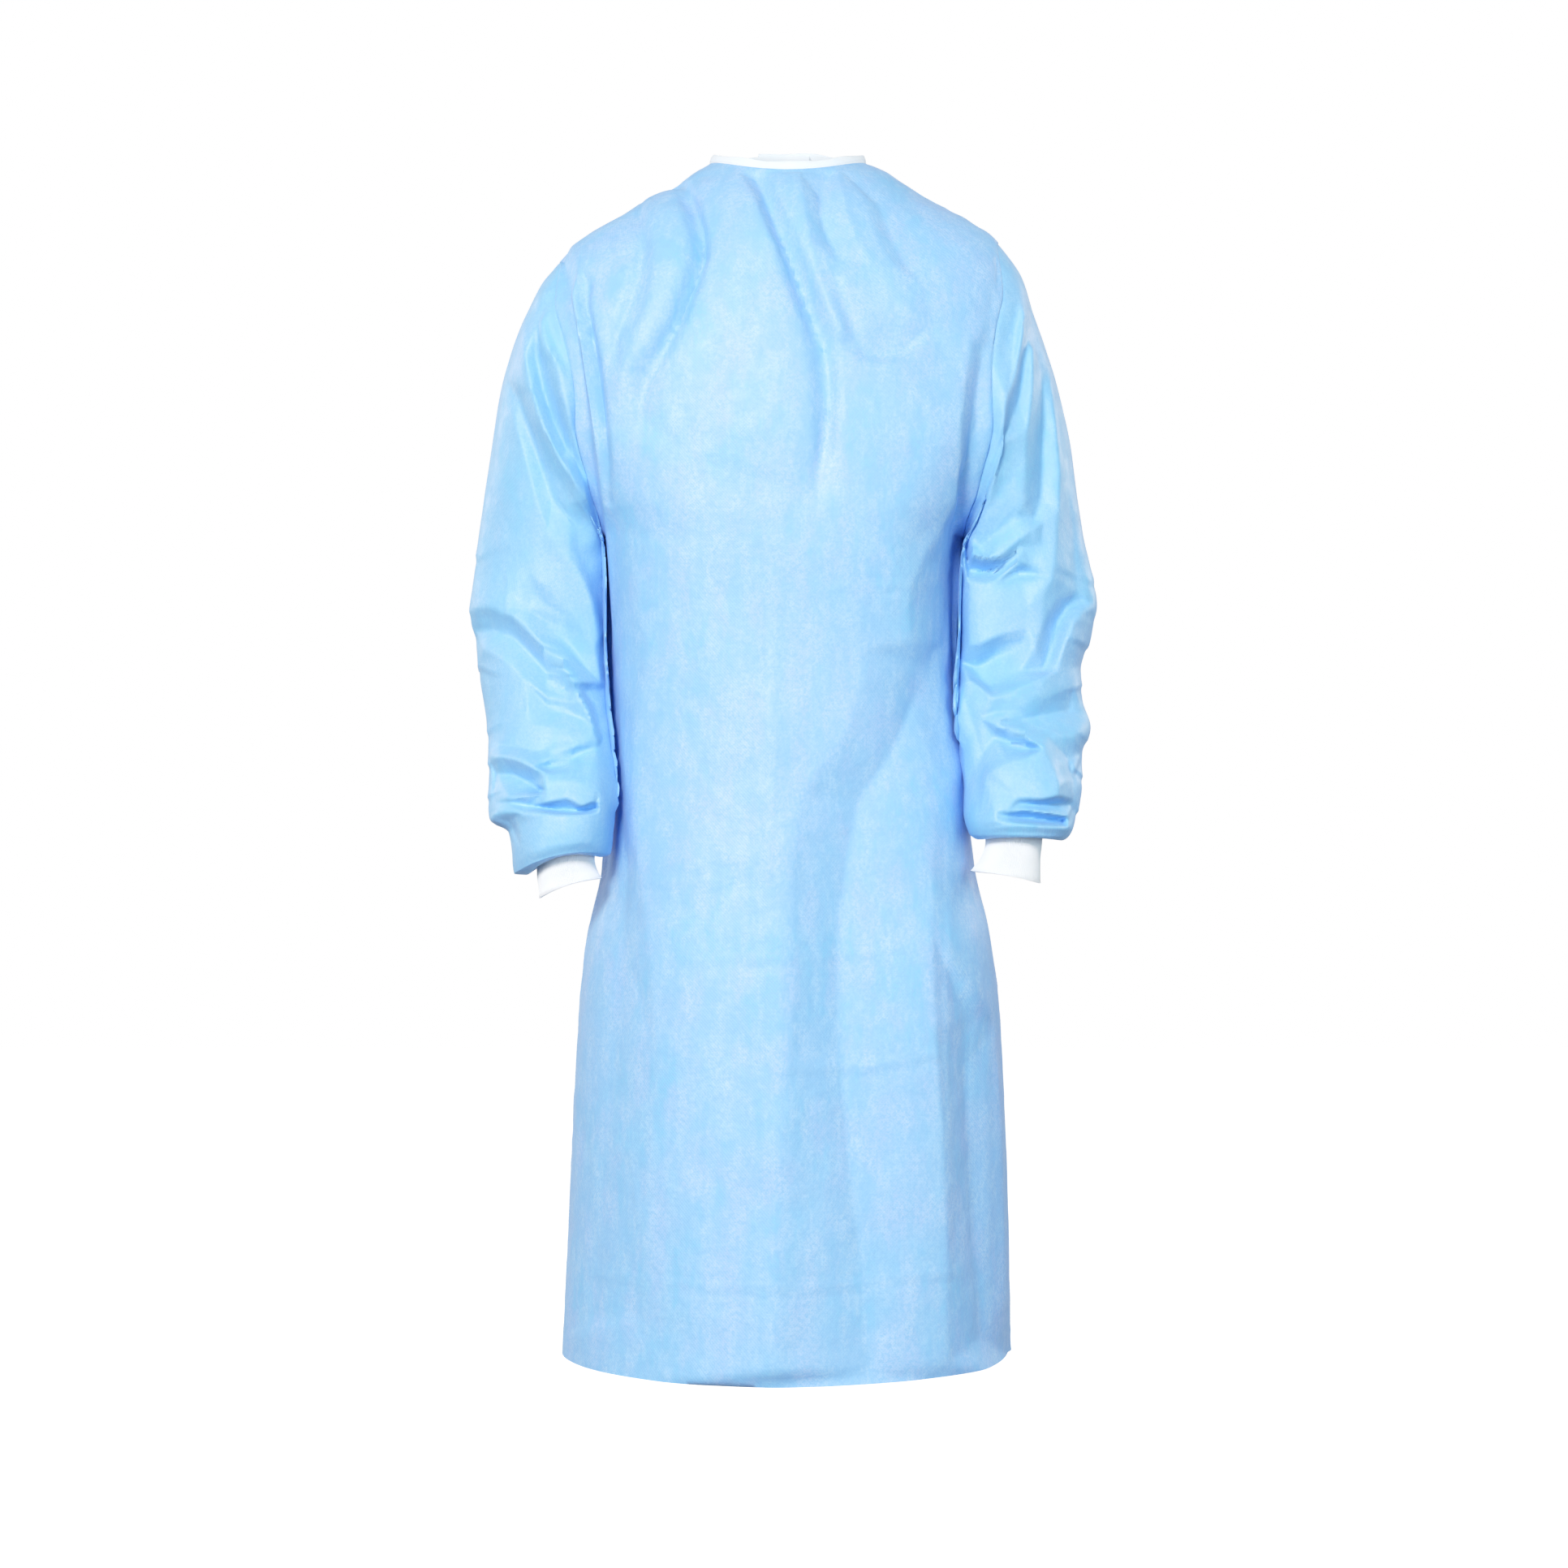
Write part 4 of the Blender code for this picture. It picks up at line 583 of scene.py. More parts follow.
# The hidden sides' creases. Their corners are in millimetres: (x, z) on the back, seen from the
# front, and (y, z) on the sleeves' sides.
BACK_CREASES = (
    Crease(((4, -60), (2, -200), (5, -330), (3, -430)), 3, 3, 0.9, 0.6, 20),       # centre fold
    Crease(((2, -760), (4, -900), (1, -1020), (3, -1150)), 3, 3, 0.8, 0.6, 20),
    Crease(((-150, -330), (-60, -333), (40, -331), (140, -334)), 2.6, 3, 0.8, 0.6, 14),
    Crease(((-160, -640), (-50, -638), (60, -642), (165, -640)), 2.6, 3, 0.8, 0.6, 14),
    Crease(((-170, -905), (-60, -908), (60, -903), (170, -907)), 2.6, 3, 0.9, 0.7, 14),
    Crease(((96, -300), (100, -420), (98, -560), (101, -700)), 2.8, 2.8, 0.6, 0.4, 20),
    Crease(((-102, -330), (-99, -420), (-101, -560), (-98, -690)), 2.8, 2.8, 0.6, 0.4, 20),
    Crease(((34, -440), (70, -408), (112, -372)), 6, 7, 2.6, 1.2, 22),             # above the waist
    Crease(((30, -432), (52, -390), (74, -340)), 5, 6, 2.0, 1.0, 20),
    Crease(((-34, -440), (-72, -412), (-118, -384)), 7, 6, 2.6, 1.2, 22),
    Crease(((-28, -432), (-46, -388), (-60, -340)), 6, 5, 1.9, 0.9, 20),
    Crease(((40, -488), (78, -524), (110, -585)), 7, 6, 2.4, 1.0, 24),             # below it
    Crease(((60, -482), (100, -506), (136, -548)), 6, 6, 1.9, 0.8, 22),
    Crease(((-40, -488), (-74, -530), (-100, -600)), 6, 7, 2.4, 1.0, 24),
    Crease(((-62, -482), (-104, -510), (-140, -560)), 6, 6, 1.8, 0.8, 22),
    Crease(((92, -150), (70, -178), (40, -196)), 10, 10, 1.6, 0.0, 20),            # between the blades
    Crease(((-96, -158), (-66, -186), (-34, -200)), 10, 10, 1.5, 0.0, 20),
    Crease(((158, -250), (138, -296), (128, -350)), 7, 8, 2.6, 1.2, 18),           # by the armholes
    Crease(((-160, -246), (-142, -300), (-134, -356)), 8, 7, 2.4, 1.2, 18),
)
SIDE_LEFT_CREASES = (
    Crease(((-52, -404), (-10, -418), (34, -408), (70, -392)), 7, 4, 1.05, 0.84, 12),
    Crease(((-46, -446), (0, -456), (46, -444)), 6, 6, -1.19, 0, 12),             # elbow
    Crease(((-50, -474), (-6, -482), (40, -470), (66, -452)), 8, 4, 1.12, 0.91, 12),
    Crease(((-58, -528), (-16, -520), (30, -530)), 7, 4, 0.98, 0.77, 12),
    Crease(((-70, -566), (-34, -574), (6, -562)), 6, 5, 0.84, 0.63, 10),
    Crease(((-86, -600), (-50, -610), (-10, -598)), 6, 4, 0.91, 0.77, 10),
    Crease(((-96, -636), (-60, -644), (-22, -638)), 6, 3.5, 0.91, 0.84, 9),
    Crease(((-20, -170), (-8, -240), (-14, -330)), 10, 12, -0.91, 0, 26),
    Crease(((26, -180), (34, -260), (28, -350)), 10, 10, 0.77, 0, 26),
)
SIDE_RIGHT_CREASES = (
    Crease(((-50, -380), (-8, -394), (38, -384)), 7, 4, 0.98, 0.7, 12),
    Crease(((-44, -466), (0, -474), (44, -462)), 6, 6, -1.12, 0, 12),             # elbow
    Crease(((-50, -442), (-6, -448), (40, -436), (64, -424)), 8, 5, 1.05, 0.7, 12),
    Crease(((-52, -512), (-12, -502), (34, -514)), 7, 4, 1.05, 0.84, 12),
    Crease(((-66, -556), (-28, -566), (12, -552)), 6, 5, 0.91, 0.7, 10),
    Crease(((-80, -590), (-46, -598), (-4, -586)), 6, 4, 0.91, 0.77, 10),
    Crease(((-92, -622), (-56, -630), (-18, -624)), 5, 3.5, 0.84, 0.77, 9),
    Crease(((-94, -650), (-60, -656), (-24, -648)), 5, 3.5, 0.77, 0.7, 8),
    Crease(((-16, -180), (-6, -250), (-12, -330)), 10, 12, -0.84, 0, 26),
    Crease(((30, -190), (36, -260), (30, -340)), 10, 10, 0.77, 0, 26),
)


# ================================================================ smooth curves through tables
def smooth(at, places, values):
    """A monotone cubic curve through a table's column, or through rows of points."""
    step = np.diff(places).reshape(-1, *[1] * (values.ndim - 1))
    rise = np.diff(values, axis=0) / step
    before, after = rise[:-1], rise[1:]
    same_way = before * after > 0
    total = np.where(same_way, before + after, 1)
    slope = np.concatenate([rise[:1], np.where(same_way, 2 * before * after / total, 0), rise[-1:]])
    row = np.clip(np.searchsorted(places, at) - 1, 0, len(step) - 1)
    width = step[row].reshape(at.shape + (1,) * (values.ndim - 1))
    t = (at - places[row]).reshape(width.shape) / width
    return (
        (2 * t**3 - 3 * t**2 + 1) * values[row]
        + (t**3 - 2 * t**2 + t) * width * slope[row]
        + (3 * t**2 - 2 * t**3) * values[row + 1]
        + (t**3 - t**2) * width * slope[row + 1]
    )


def columns(table):
    """A table's columns by name."""
    return {name: np.array([getattr(row, name) for row in table]) for name in table[0]._fields}


BODY_COLUMNS = columns(BODY)


def body_section(down):
    """The body's section at a distance down, each value an array like down."""
    places = BODY_COLUMNS["down"]
    return Section(down, *(smooth(down, places, BODY_COLUMNS[name]) for name in Section._fields[1:]))


def signed_power(value, power):
    return np.sign(value) * np.abs(value) ** power


def body(down, angle):
    """Points on the outside of the body. angle is 0 at the front centre and 90 at the left side."""
    down, angle = np.broadcast_arrays(np.asarray(down, float), np.asarray(angle, float))
    section = body_section(down)
    turn = np.radians(angle)
    aside = signed_power(np.sin(turn), 2 / section.square)
    ahead = signed_power(np.cos(turn), 2 / section.square)
    depth = np.where(ahead > 0, section.front_depth, section.back_depth)
    far_z = np.where(ahead > 0, section.front_z, section.back_z)
    x = section.middle_x + section.half_width * aside
    z = section.side_z + (far_z - section.side_z) * np.cos(turn) ** 2 + section.tilt * aside
    return np.stack([x, -depth * ahead, z], axis=-1)


def unit(vectors):
    """Directions of length 1."""
    return vectors / np.maximum(np.linalg.norm(vectors, axis=-1, keepdims=True), 1e-12)


def outward(down, angle):
    """The body's outward directions."""
    down_step, angle_step = 0.004, 2.0
    along = body(np.minimum(down + down_step, HEM), angle) - body(np.maximum(down - down_step, 0), angle)
    across = body(down, angle + angle_step) - body(down, angle - angle_step)
    return unit(np.cross(along, across))


# ================================================================ folds, creases and crumple
def soft_step(value):
    value = np.clip(value, 0, 1)
    return value * value * (3 - 2 * value)


def fold_height(points, folds):
    """How far the largest folds push points out, judged in the front view."""
    place = points[..., [0, 2]]
    total = np.zeros(place.shape[:-1])
    for fold in folds:
        t = np.linspace(0, 1, FOLD_POINTS)[:, None]
        first, middle, last = (np.array(fold[i:i + 2]) for i in (0, 2, 4))
        bend = 2 * middle - (first + last) / 2
        line = (1 - t) ** 2 * first + 2 * t * (1 - t) * bend + t**2 * last
        away, _ = from_line(place, line)
        total += fold.height * np.exp(-((away / fold.reach) ** 2))
    return total


def through(corners):
    """A smooth curve through corners, as closely spaced points."""
    corners = np.array(corners, float) / 1000
    whole = np.concatenate([2 * corners[:1] - corners[1:2], corners, 2 * corners[-1:] - corners[-2:-1]])
    t = np.linspace(0, 1, CREASE_POINTS, endpoint=False)[:, None]
    parts = [
        (2 * b + (c - a) * t + (2 * a - 5 * b + 4 * c - d) * t**2 + (3 * b - a - 3 * c + d) * t**3) / 2
        for a, b, c, d in zip(whole[:-3], whole[1:-2], whole[2:-1], whole[3:])
    ]
    return np.concatenate(parts + [corners[-1:]])


def from_line(place, line):
    """Distances from a line in its plane, over 0 on its right hand, and how far along it that is."""
    away = np.full(place.shape[:-1], np.inf)
    along = np.zeros(away.shape)
    run = 0.0
    for start, end in zip(line[:-1], line[1:]):
        step = end - start
        length = np.hypot(*step)
        offset = place - start
        share = np.clip(offset @ step / length**2, 0, 1)
        apart = np.linalg.norm(offset - share[..., None] * step, axis=-1)
        hand = np.where(offset[..., 0] * step[1] - offset[..., 1] * step[0] < 0, -1.0, 1.0)
        nearer = apart < np.abs(away)
        away = np.where(nearer, hand * apart, away)
        along = np.where(nearer, run + share * length, along)
        run += length
    return away, along


def crease_height(place, creases):
    """How far creases push out the points at these places of their view: sharp ridges and valleys
    with flat flanks, which get lower and narrower toward their ends."""
    total = np.zeros(place.shape[:-1])
    flat, spots = total.reshape(-1), place.reshape(-1, 2)
    for crease in creases:
        line = through(crease.line)
        before, after, height, lip, fade = (value / 1000 for value in crease[1:])
        room = FLANK * max(before, after)
        near = np.all((spots > line.min(0) - room) & (spots < line.max(0) + room), axis=1)
        away, along = from_line(spots[near], line)
        length = np.linalg.norm(np.diff(line, axis=0), axis=1).sum()
        inner = np.ones(along.shape)
        if fade > 0:
            inner = soft_step(along / fade) * soft_step((length - along) / fade)
        width = np.where(away > 0, after, before) * (NARROW + (1 - NARROW) * inner)
        share = np.abs(away) / width
        shape = height * np.clip(1 - share / FLANK, 0, 1) ** CREST
        shape -= np.where(away > 0, lip * share * np.exp((1 - share**2) / 2), 0)
        flat[near] += shape * inner
    return total


def seen_on(node):
    """A function that finds where the camera sees a pixel of the photo on a solid, as (x, z) in
    whole millimetres. A pixel beside the outline is as far away as the nearest point seen."""
    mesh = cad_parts[node].data
    spots = np.array([spot.co[:] for spot in mesh.vertices])
    solid = BVHTree.FromPolygons(spots.tolist(), [face.vertices[:] for face in mesh.polygons])
    eye = np.array(CAMERA_PLACE)
    reach = -eye[1]
    shares = (spots[:, 1] + reach) / reach
    as_seen = (spots - eye) / shares[:, None]

    def place(x, y):
        ray = np.array([(x - PHOTO_MIDDLE) * PIXEL, reach, (PHOTO_MIDDLE - y) * PIXEL])
        met = solid.ray_cast(Vector(eye), Vector(ray))[0]
        if met is None:
            apart = np.hypot(*(as_seen - ray)[:, [0, 2]].T)
            apart[spots[:, 1] > SEEN_DEPTH] = np.inf
            met = eye + ray * shares[np.argmin(apart)]
        return round(met[0] * 1000), round(met[2] * 1000)

    return place


def on_solid(node, creases, net):
    """Creases and a net that were picked in the photo, with their places moved onto a solid."""
    place = seen_on(node)
    moved = [crease._replace(line=[place(*spot) for spot in crease.line]) for crease in creases]
    return moved, [[(*place(x, y), height) for x, y, height in line] for line in net]


def net_height(place, lines):
    """How far a net of lines pushes out the points at these places of their view: flat facets
    between the net's points, with softened edges."""
    spots = np.array([spot for line in lines for spot in line]) / 1000
    low, high = spots[:, :2].min(0) - NET_MARGIN, spots[:, :2].max(0) + NET_MARGIN
    around = [(x, z, 0) for x in (low[0], high[0]) for z in (low[1], high[1])]
    spots = np.concatenate([spots, around])
    links, count = [], 0
    for line in lines:
        links += [(count + step, count + step + 1) for step in range(len(line) - 1)]
        count += len(line)
    flat = [Vector(spot[:2]) for spot in spots]
    corners, _, faces, origins, _, _ = delaunay_2d_cdt(flat, links, [], 0, 1e-6)
    corners = np.array([corner[:] for corner in corners])
    heights = np.array([spots[origin[0], 2] if origin else 0.0 for origin in origins])
    turn = np.arange(6) * pi / 3
    taps = NET_SOFT * np.concatenate([[[0, 0]], np.stack([np.cos(turn), np.sin(turn)], axis=1)])
    wanted = (place.reshape(-1, 1, 2) + taps).reshape(-1, 2)
    total = np.zeros(len(wanted))
    for face in faces:
        a, b, c = corners[face]
        low, high = corners[face].min(0), corners[face].max(0)
        near = np.nonzero(np.all((wanted >= low) & (wanted <= high), axis=1))[0]
        first, second = np.linalg.solve(np.stack([b - a, c - a], axis=1), (wanted[near] - a).T)
        inside = (first >= 0) & (second >= 0) & (first + second <= 1)
        level = heights[face[0]] + first * (heights[face[1]] - heights[face[0]])
        level += second * (heights[face[2]] - heights[face[0]])
        total[near[inside]] = level[inside]
    return total.reshape(-1, len(taps)).mean(axis=1).reshape(place.shape[:-1])


def crumple(place, size, seed):
    """Even random bumps from -1 to 1 of a size, the same on each run, from a smooth lattice."""
    table = np.random.default_rng(seed).uniform(-1, 1, (LATTICE,) * 3)
    spot = place / size
    low = np.floor(spot).astype(int)
    share = soft_step(spot - low)
    total = 0
    for corner in np.ndindex(2, 2, 2):
        weight = np.prod(np.where(corner, share, 1 - share), axis=-1)
        x, y, z = np.moveaxis((low + corner) % LATTICE, -1, 0)
        total = total + weight * table[x, y, z]
    return total


# ================================================================ panel edges, in degrees
def shoulder_seam(down):
    return SIDE - SEAM_FORWARD * np.clip(down / SHOULDER, 0, 1)


def armhole_edge(down, reach):
    """The armhole's edge: reach degrees in front of the side at its widest, or behind it."""
    share = np.clip((down - SHOULDER) / (UNDERARM - SHOULDER), 0, 1)
    middle = shoulder_seam(down) + (SIDE - shoulder_seam(down)) * share
    bite = np.sin(pi * share**ARMHOLE_HIGH) ** ARMHOLE_BLUNT
    return middle - reach * bite


def front_edge(down):
    return armhole_edge(down, ARMHOLE_FRONT)


def back_edge(down):
    return armhole_edge(down, -ARMHOLE_BACK)


def overlap_share(down):
    """The share of its width by which the back overlaps: small at the neck, whole at the waist."""
    return OVERLAP_NECK + (1 - OVERLAP_NECK) * soft_step(down / OVERLAP_WHOLE)


def across_back(down, x):
    """The angle at which the back is x to the left of its centre."""
    section = body_section(down)
    return 180 - np.degrees(np.arcsin(signed_power(x / section.half_width, section.square / 2)))


def past_centre(down, width):
    """How many degrees an overlap's width passes the centre back."""
    return 180 - across_back(down, width * overlap_share(down))


def outer_back_lift(down, angle):
    """The outer back has risen over the inner one where the inner one's edge comes."""
    risen = 180 - OVERLAP_SPARE * past_centre(down, OVERLAP_UNDER)
    run = np.degrees(LIFT_RUN / body_section(down).half_width)
    return OVERLAP_LIFT * soft_step((angle - risen + run) / run)


def over_edge(angle, edge):
    """The lift of a strip that lies on the outer back and drops past its edge to the inner one."""
    return TIE_LIFT + OVERLAP_LIFT * (1 - soft_step((angle - edge - EDGE_PAST) / EDGE_DROP))


# ================================================================ meshes
def quads(index):
    """The faces of a grid of point numbers. They face out where rows go down and columns left."""
    corners = [index[:-1, :-1], index[1:, :-1], index[1:, 1:], index[:-1, 1:]]
    return np.stack(corners, axis=-1).reshape(-1, 4)


def wall_faces(out, back, tube):
    """The faces of a thin wall between two grids of point numbers, with its edges closed."""
    parts = [quads(out), quads(back[::-1])]
    parts += [quads(np.stack([out[-1], back[-1]])), quads(np.stack([back[0], out[0]]))]
    if not tube:
        parts.append(quads(np.stack([back[:, 0], out[:, 0]], axis=1)))
        parts.append(quads(np.stack([out[:, -1], back[:, -1]], axis=1)))
    return np.concatenate(parts)


def laid_flat(grid):
    """Where each point of a grid lies in the flat cloth: across it and down it, in metres."""
    across = np.linalg.norm(np.diff(grid, axis=1), axis=-1)
    across = np.concatenate([0 * across[:, :1], np.cumsum(across, axis=1)], axis=1)
    across = across - across[:, [across.shape[1] // 2]]
    down = np.linalg.norm(np.diff(grid, axis=0), axis=-1)
    down = np.concatenate([0 * down[:1], np.cumsum(down, axis=0)])
    return np.stack([across, down.mean(axis=1, keepdims=True) + 0 * down], axis=-1)


def grid_normals(grid):
    """Outward directions on a panel's grid."""
    return unit(np.cross(np.gradient(grid, axis=0), -np.gradient(grid, axis=1)))


def sheet_object(name, outer, inner, cloth, tube=False):
    """A thin wall between two grids of points. A tube's columns close on themselves."""
    points = np.concatenate([outer, inner]).reshape(-1, 3)
    count = len(points) // 2
    out = np.arange(count).reshape(outer.shape[:2])
    if tube:
        out = np.concatenate([out, out[:, :1]], axis=1)
        outer = np.concatenate([outer, outer[:, :1]], axis=1)
    flat = laid_flat(outer)
    spots = np.arange(flat[..., 0].size).reshape(flat.shape[:2])
    faces = wall_faces(out, out + count, tube)
    mesh = bpy.data.meshes.new(name)
    mesh.from_pydata(points.tolist(), [], faces.tolist())
    uv = flat.reshape(-1, 2)[wall_faces(spots, spots, tube).ravel()]
    mesh.uv_layers.new(name="cloth").data.foreach_set("uv", uv.ravel())
    return add_object(name, mesh, cloth)


def add_object(name, mesh, cloth):
    """An object that rides on the gown, smooth but for its sharp edges."""
    mesh.materials.append(cloth)
    mesh.shade_smooth()
    mesh.set_sharp_from_angle(angle=pi / 3)
    made = bpy.data.objects.new(name, mesh)
    bpy.context.collection.objects.link(made)
    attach(made, "root")
    return made


def pulled_in(grid):
    """A grid whose side edges stand back by half a seam's gap."""
    grid = grid.copy()
    grid[:, 0] += unit(grid[:, 1] - grid[:, 0]) * SEAM / 2
    grid[:, -1] += unit(grid[:, -2] - grid[:, -1]) * SEAM / 2
    return grid


def spread(first_edge, steady, last_edge):
    """Angles from edge to edge for each row: steady ones between, and closer ones to each edge."""
    share = 1 - (np.arange(EDGE_STEPS) / EDGE_STEPS) ** EDGE_CLOSER
    before = first_edge[:, None] * share + steady[0] * (1 - share)
    after = last_edge[:, None] * share + steady[-1] * (1 - share)
    middle = np.repeat(steady[None, :], len(first_edge), axis=0)
    return np.concatenate([before, middle, after[:, ::-1]], axis=1)


def panel(angle, sewn, lift, folds, creases, net, seed):
    """The grids of a body panel, its angles given for each row. Folds die out at its sewn edges."""
    down = PANEL_DOWNS[:, None] + 0 * angle
    points = body(down, angle)
    direction = outward(down, angle)
    place = points[..., [0, 2]]
    from_seam = np.min([np.abs(angle - angle[:, [edge]]) for edge in sewn], axis=0)
    height = fold_height(points, folds) * soft_step(from_seam / FOLD_FADE)
    if net is not None:
        facets = NET_DEEP * net_height(place, net)
        height = FOLD_SHARE * height + facets * soft_step(from_seam / NET_FADE)
    height += crease_height(place, creases) * soft_step(from_seam / CREASE_FADE)
    height += crumpled(points, seed) * soft_step(from_seam / FOLD_FADE)
    height *= soft_step(down / NECK_FADE)
    height += seam_relief(points, np.radians(from_seam) * body_section(down).half_width, seed)
    if lift is not None:
        height = height + lift(down, angle)
    outer = points + direction * height[..., None]
    inner = outer - direction * WALL
    return pulled_in(outer), pulled_in(inner)


def crumpled(points, seed):
    """The cloth's own unevenness: broad waves, smaller ones and faint crinkles."""
    return sum(
        height * crumple(points, size, seed + number)
        for number, (size, height) in enumerate(CRUMPLES)
    )


def seam_relief(points, distance, seed):
    """A groove along a seam, and puckers that die out away from it."""
    groove = SEAM_GROOVE * np.exp(-((distance / SEAM_GROOVE_REACH) ** 2))
    pucker = SEAM_PUCKER * crumple(points, SEAM_PUCKER_SIZE, seed) * np.exp(-distance / SEAM_PUCKER_REACH)
    return pucker * (1 - np.exp(-distance / SEAM_GROOVE_REACH)) - groove


def patch(down, angle, lift, thickness):
    """The grids of a strip that lies lift above the body."""
    direction = outward(down, angle)
    inner = body(down, angle) + direction * np.asarray(lift)[..., None]
    return inner + direction * thickness, inner


# ================================================================ sleeves
def armhole(side):
    """The armhole's points, down its front and up its back, and its outward and onward directions."""
    down = np.concatenate([ARMHOLE_DOWNS, ARMHOLE_DOWNS[-2:0:-1]])
    angle = np.concatenate([front_edge(ARMHOLE_DOWNS), back_edge(ARMHOLE_DOWNS[-2:0:-1])])
    normal = outward(down, side * angle)
    points = body(down, side * angle)
    along = np.roll(points, -1, axis=0) - np.roll(points, 1, axis=0)
    onward = unit(np.cross(normal, along)) * side
    return points, normal, onward


def ring_points(ring, side, turn, square=1.0):
    """Points round a ring: turn is 0 at its outer point and a quarter at its front."""
    outer = np.array([side * ring.outer_x, ring.middle_y, ring.outer_z])
    inner = np.array([side * ring.inner_x, ring.middle_y, ring.inner_z])
    reach = np.cos(turn)
    reach = np.where(reach < 0, -np.abs(reach) ** square, reach)
    points = (outer + inner) / 2 + reach[:, None] * (outer - inner) / 2
    points[:, 1] -= np.sin(turn) * ring.half_depth
    points[:, 2] += np.sin(turn) ** 2 * ring.lift
    return points


def clear_of_body(points, side, gap):
    """Points moved sideways where they come nearer than a gap to the body's side."""
    down = np.interp(-points[..., 2], -BODY_COLUMNS["side_z"], BODY_COLUMNS["down"])
    section = body_section(down)
    depth = np.where(points[..., 1] < 0, section.front_depth, section.back_depth) + gap
    ahead = np.clip(np.abs(points[..., 1]) / depth, 0, 1) ** (section.square / 2)
    aside = (1 - ahead**2) ** (1 / section.square)
    least = side * section.middle_x + (section.half_width + gap) * aside
    x = side * points[..., 0]
    moved = points.copy()
    moved[..., 0] = side * np.where(down > UNDERARM, np.maximum(x, least), x)
    return moved


def tube_normals(grid):
    """Outward directions on a tube's grid, rings by columns."""
    along = np.gradient(grid, axis=0)
    across = np.roll(grid, -1, axis=1) - np.roll(grid, 1, axis=1)
    return unit(np.cross(along, across))


def finer(rings, steps):
    """Rings filled in along a tube, and how far along it each lies."""
    places = np.linalg.norm(np.diff(rings, axis=0), axis=-1).mean(axis=1)
    places = np.concatenate([[0], np.cumsum(places)])
    share = np.linspace(0, 1, steps + 1)
    at = places[-1] * (share + LOWER_CLOSER * share * (1 - share))
    return smooth(at, places, rings), at, places


def sleeve(side, table, folds, creases, net, back_creases, back_net, side_creases, seed):
    """The grids of a sleeve. Its last turned rings lie inside the roll over the cuff."""
    start, normal, onward = armhole(side)
    shoulder, underarm = start[0], start[ARMHOLE_STEPS]
    chord = (shoulder - underarm) / 2
    share = np.clip((start - (shoulder + underarm) / 2) @ chord / (chord @ chord), -1, 1)
    turn = np.arccos(share)
    turn[ARMHOLE_STEPS + 1:] = 2 * pi - turn[ARMHOLE_STEPS + 1:]
    even = np.linspace(0, 2 * pi, 2 * ARMHOLE_STEPS, endpoint=False)
    seat = Ring(side * shoulder[0], shoulder[2], side * underarm[0], underarm[2], 0.0, ARMHOLE_DEPTH, 0.0)
    excess = start - ring_points(seat, side, turn)
    lean = pi / 2 * (1 - np.cos(turn))[:, None] / 2
    away = onward * np.cos(lean) + normal * np.sin(lean)
    inward = onward * np.sin(lean) - normal * np.cos(lean)
    rings = [start - TUCK[0] * away + TUCK[1] * inward]
    for number, ring in enumerate(table, start=1):
        keep = 1 - soft_step(number / (BLEND_RINGS + 1))
        nestled = min(1 - keep, soft_step((len(table) - number) / len(table) / NESTLE_FADE))
        ring = ring._replace(inner_x=ring.inner_x - NESTLE * nestled)
        square = 1 - (1 - NESTLE_SQUARE) * nestled
        points = ring_points(ring, side, turn * keep + even * (1 - keep), square) + keep * excess
        inside = number > len(table) - TURNED_RINGS
        gap = TURNED_CLEAR if inside else SLEEVE_CLEAR * min(1, number / CLEAR_RINGS)
        rings.append(clear_of_body(points, side, gap))
    outer, at, places = finer(np.array(rings), SLEEVE_STEPS)
    first_inner = outer[0] + WALL * inward
    if side > 0:
        outer, first_inner = outer[:, ::-1], first_inner[::-1]
    normals = tube_normals(outer)
    front = np.clip(-FACING * normals[..., 1], 0, 1)
    back = np.clip(FACING * normals[..., 1], 0, 1)
    aside = np.clip(FACING * side * normals[..., 0], 0, 1)
    height = FOLD_SHARE * fold_height(outer, folds) * np.clip(-normals[..., 1], 0, 1)
    ahead = 0
    for facing, lines, facets, share in ((1, creases, net, front), (-1, back_creases, back_net, back)):
        place = outer[..., [0, 2]] * [facing, 1]
        height += crease_height(place, lines) * share
        toward = soft_step(-NET_ROUND * facing * normals[..., 1])
        ahead = ahead + facing * NET_DEEP_SLEEVE * net_height(place, facets) * toward
    height += crease_height(outer[..., [1, 2]], side_creases) * aside
    height += crumpled(outer, seed)
    free = soft_step(at / SLEEVE_FREE) * soft_step((places[-TURNED_RINGS - 1] - at) / ROLL_FREE)
    height = height * free[:, None]
    height += seam_relief(outer, at[:, None] + 0 * height, seed)
    outer = outer + normals * height[..., None]
    outer[..., 1] -= ahead * free[:, None]
    hanging = outer[at > places[CLEAR_RINGS]]
    outer[at > places[CLEAR_RINGS]] = clear_of_body(hanging, side, SLEEVE_CLEAR)
    inner = outer - tube_normals(outer) * WALL
    inner[0] = first_inner
    return outer, inner


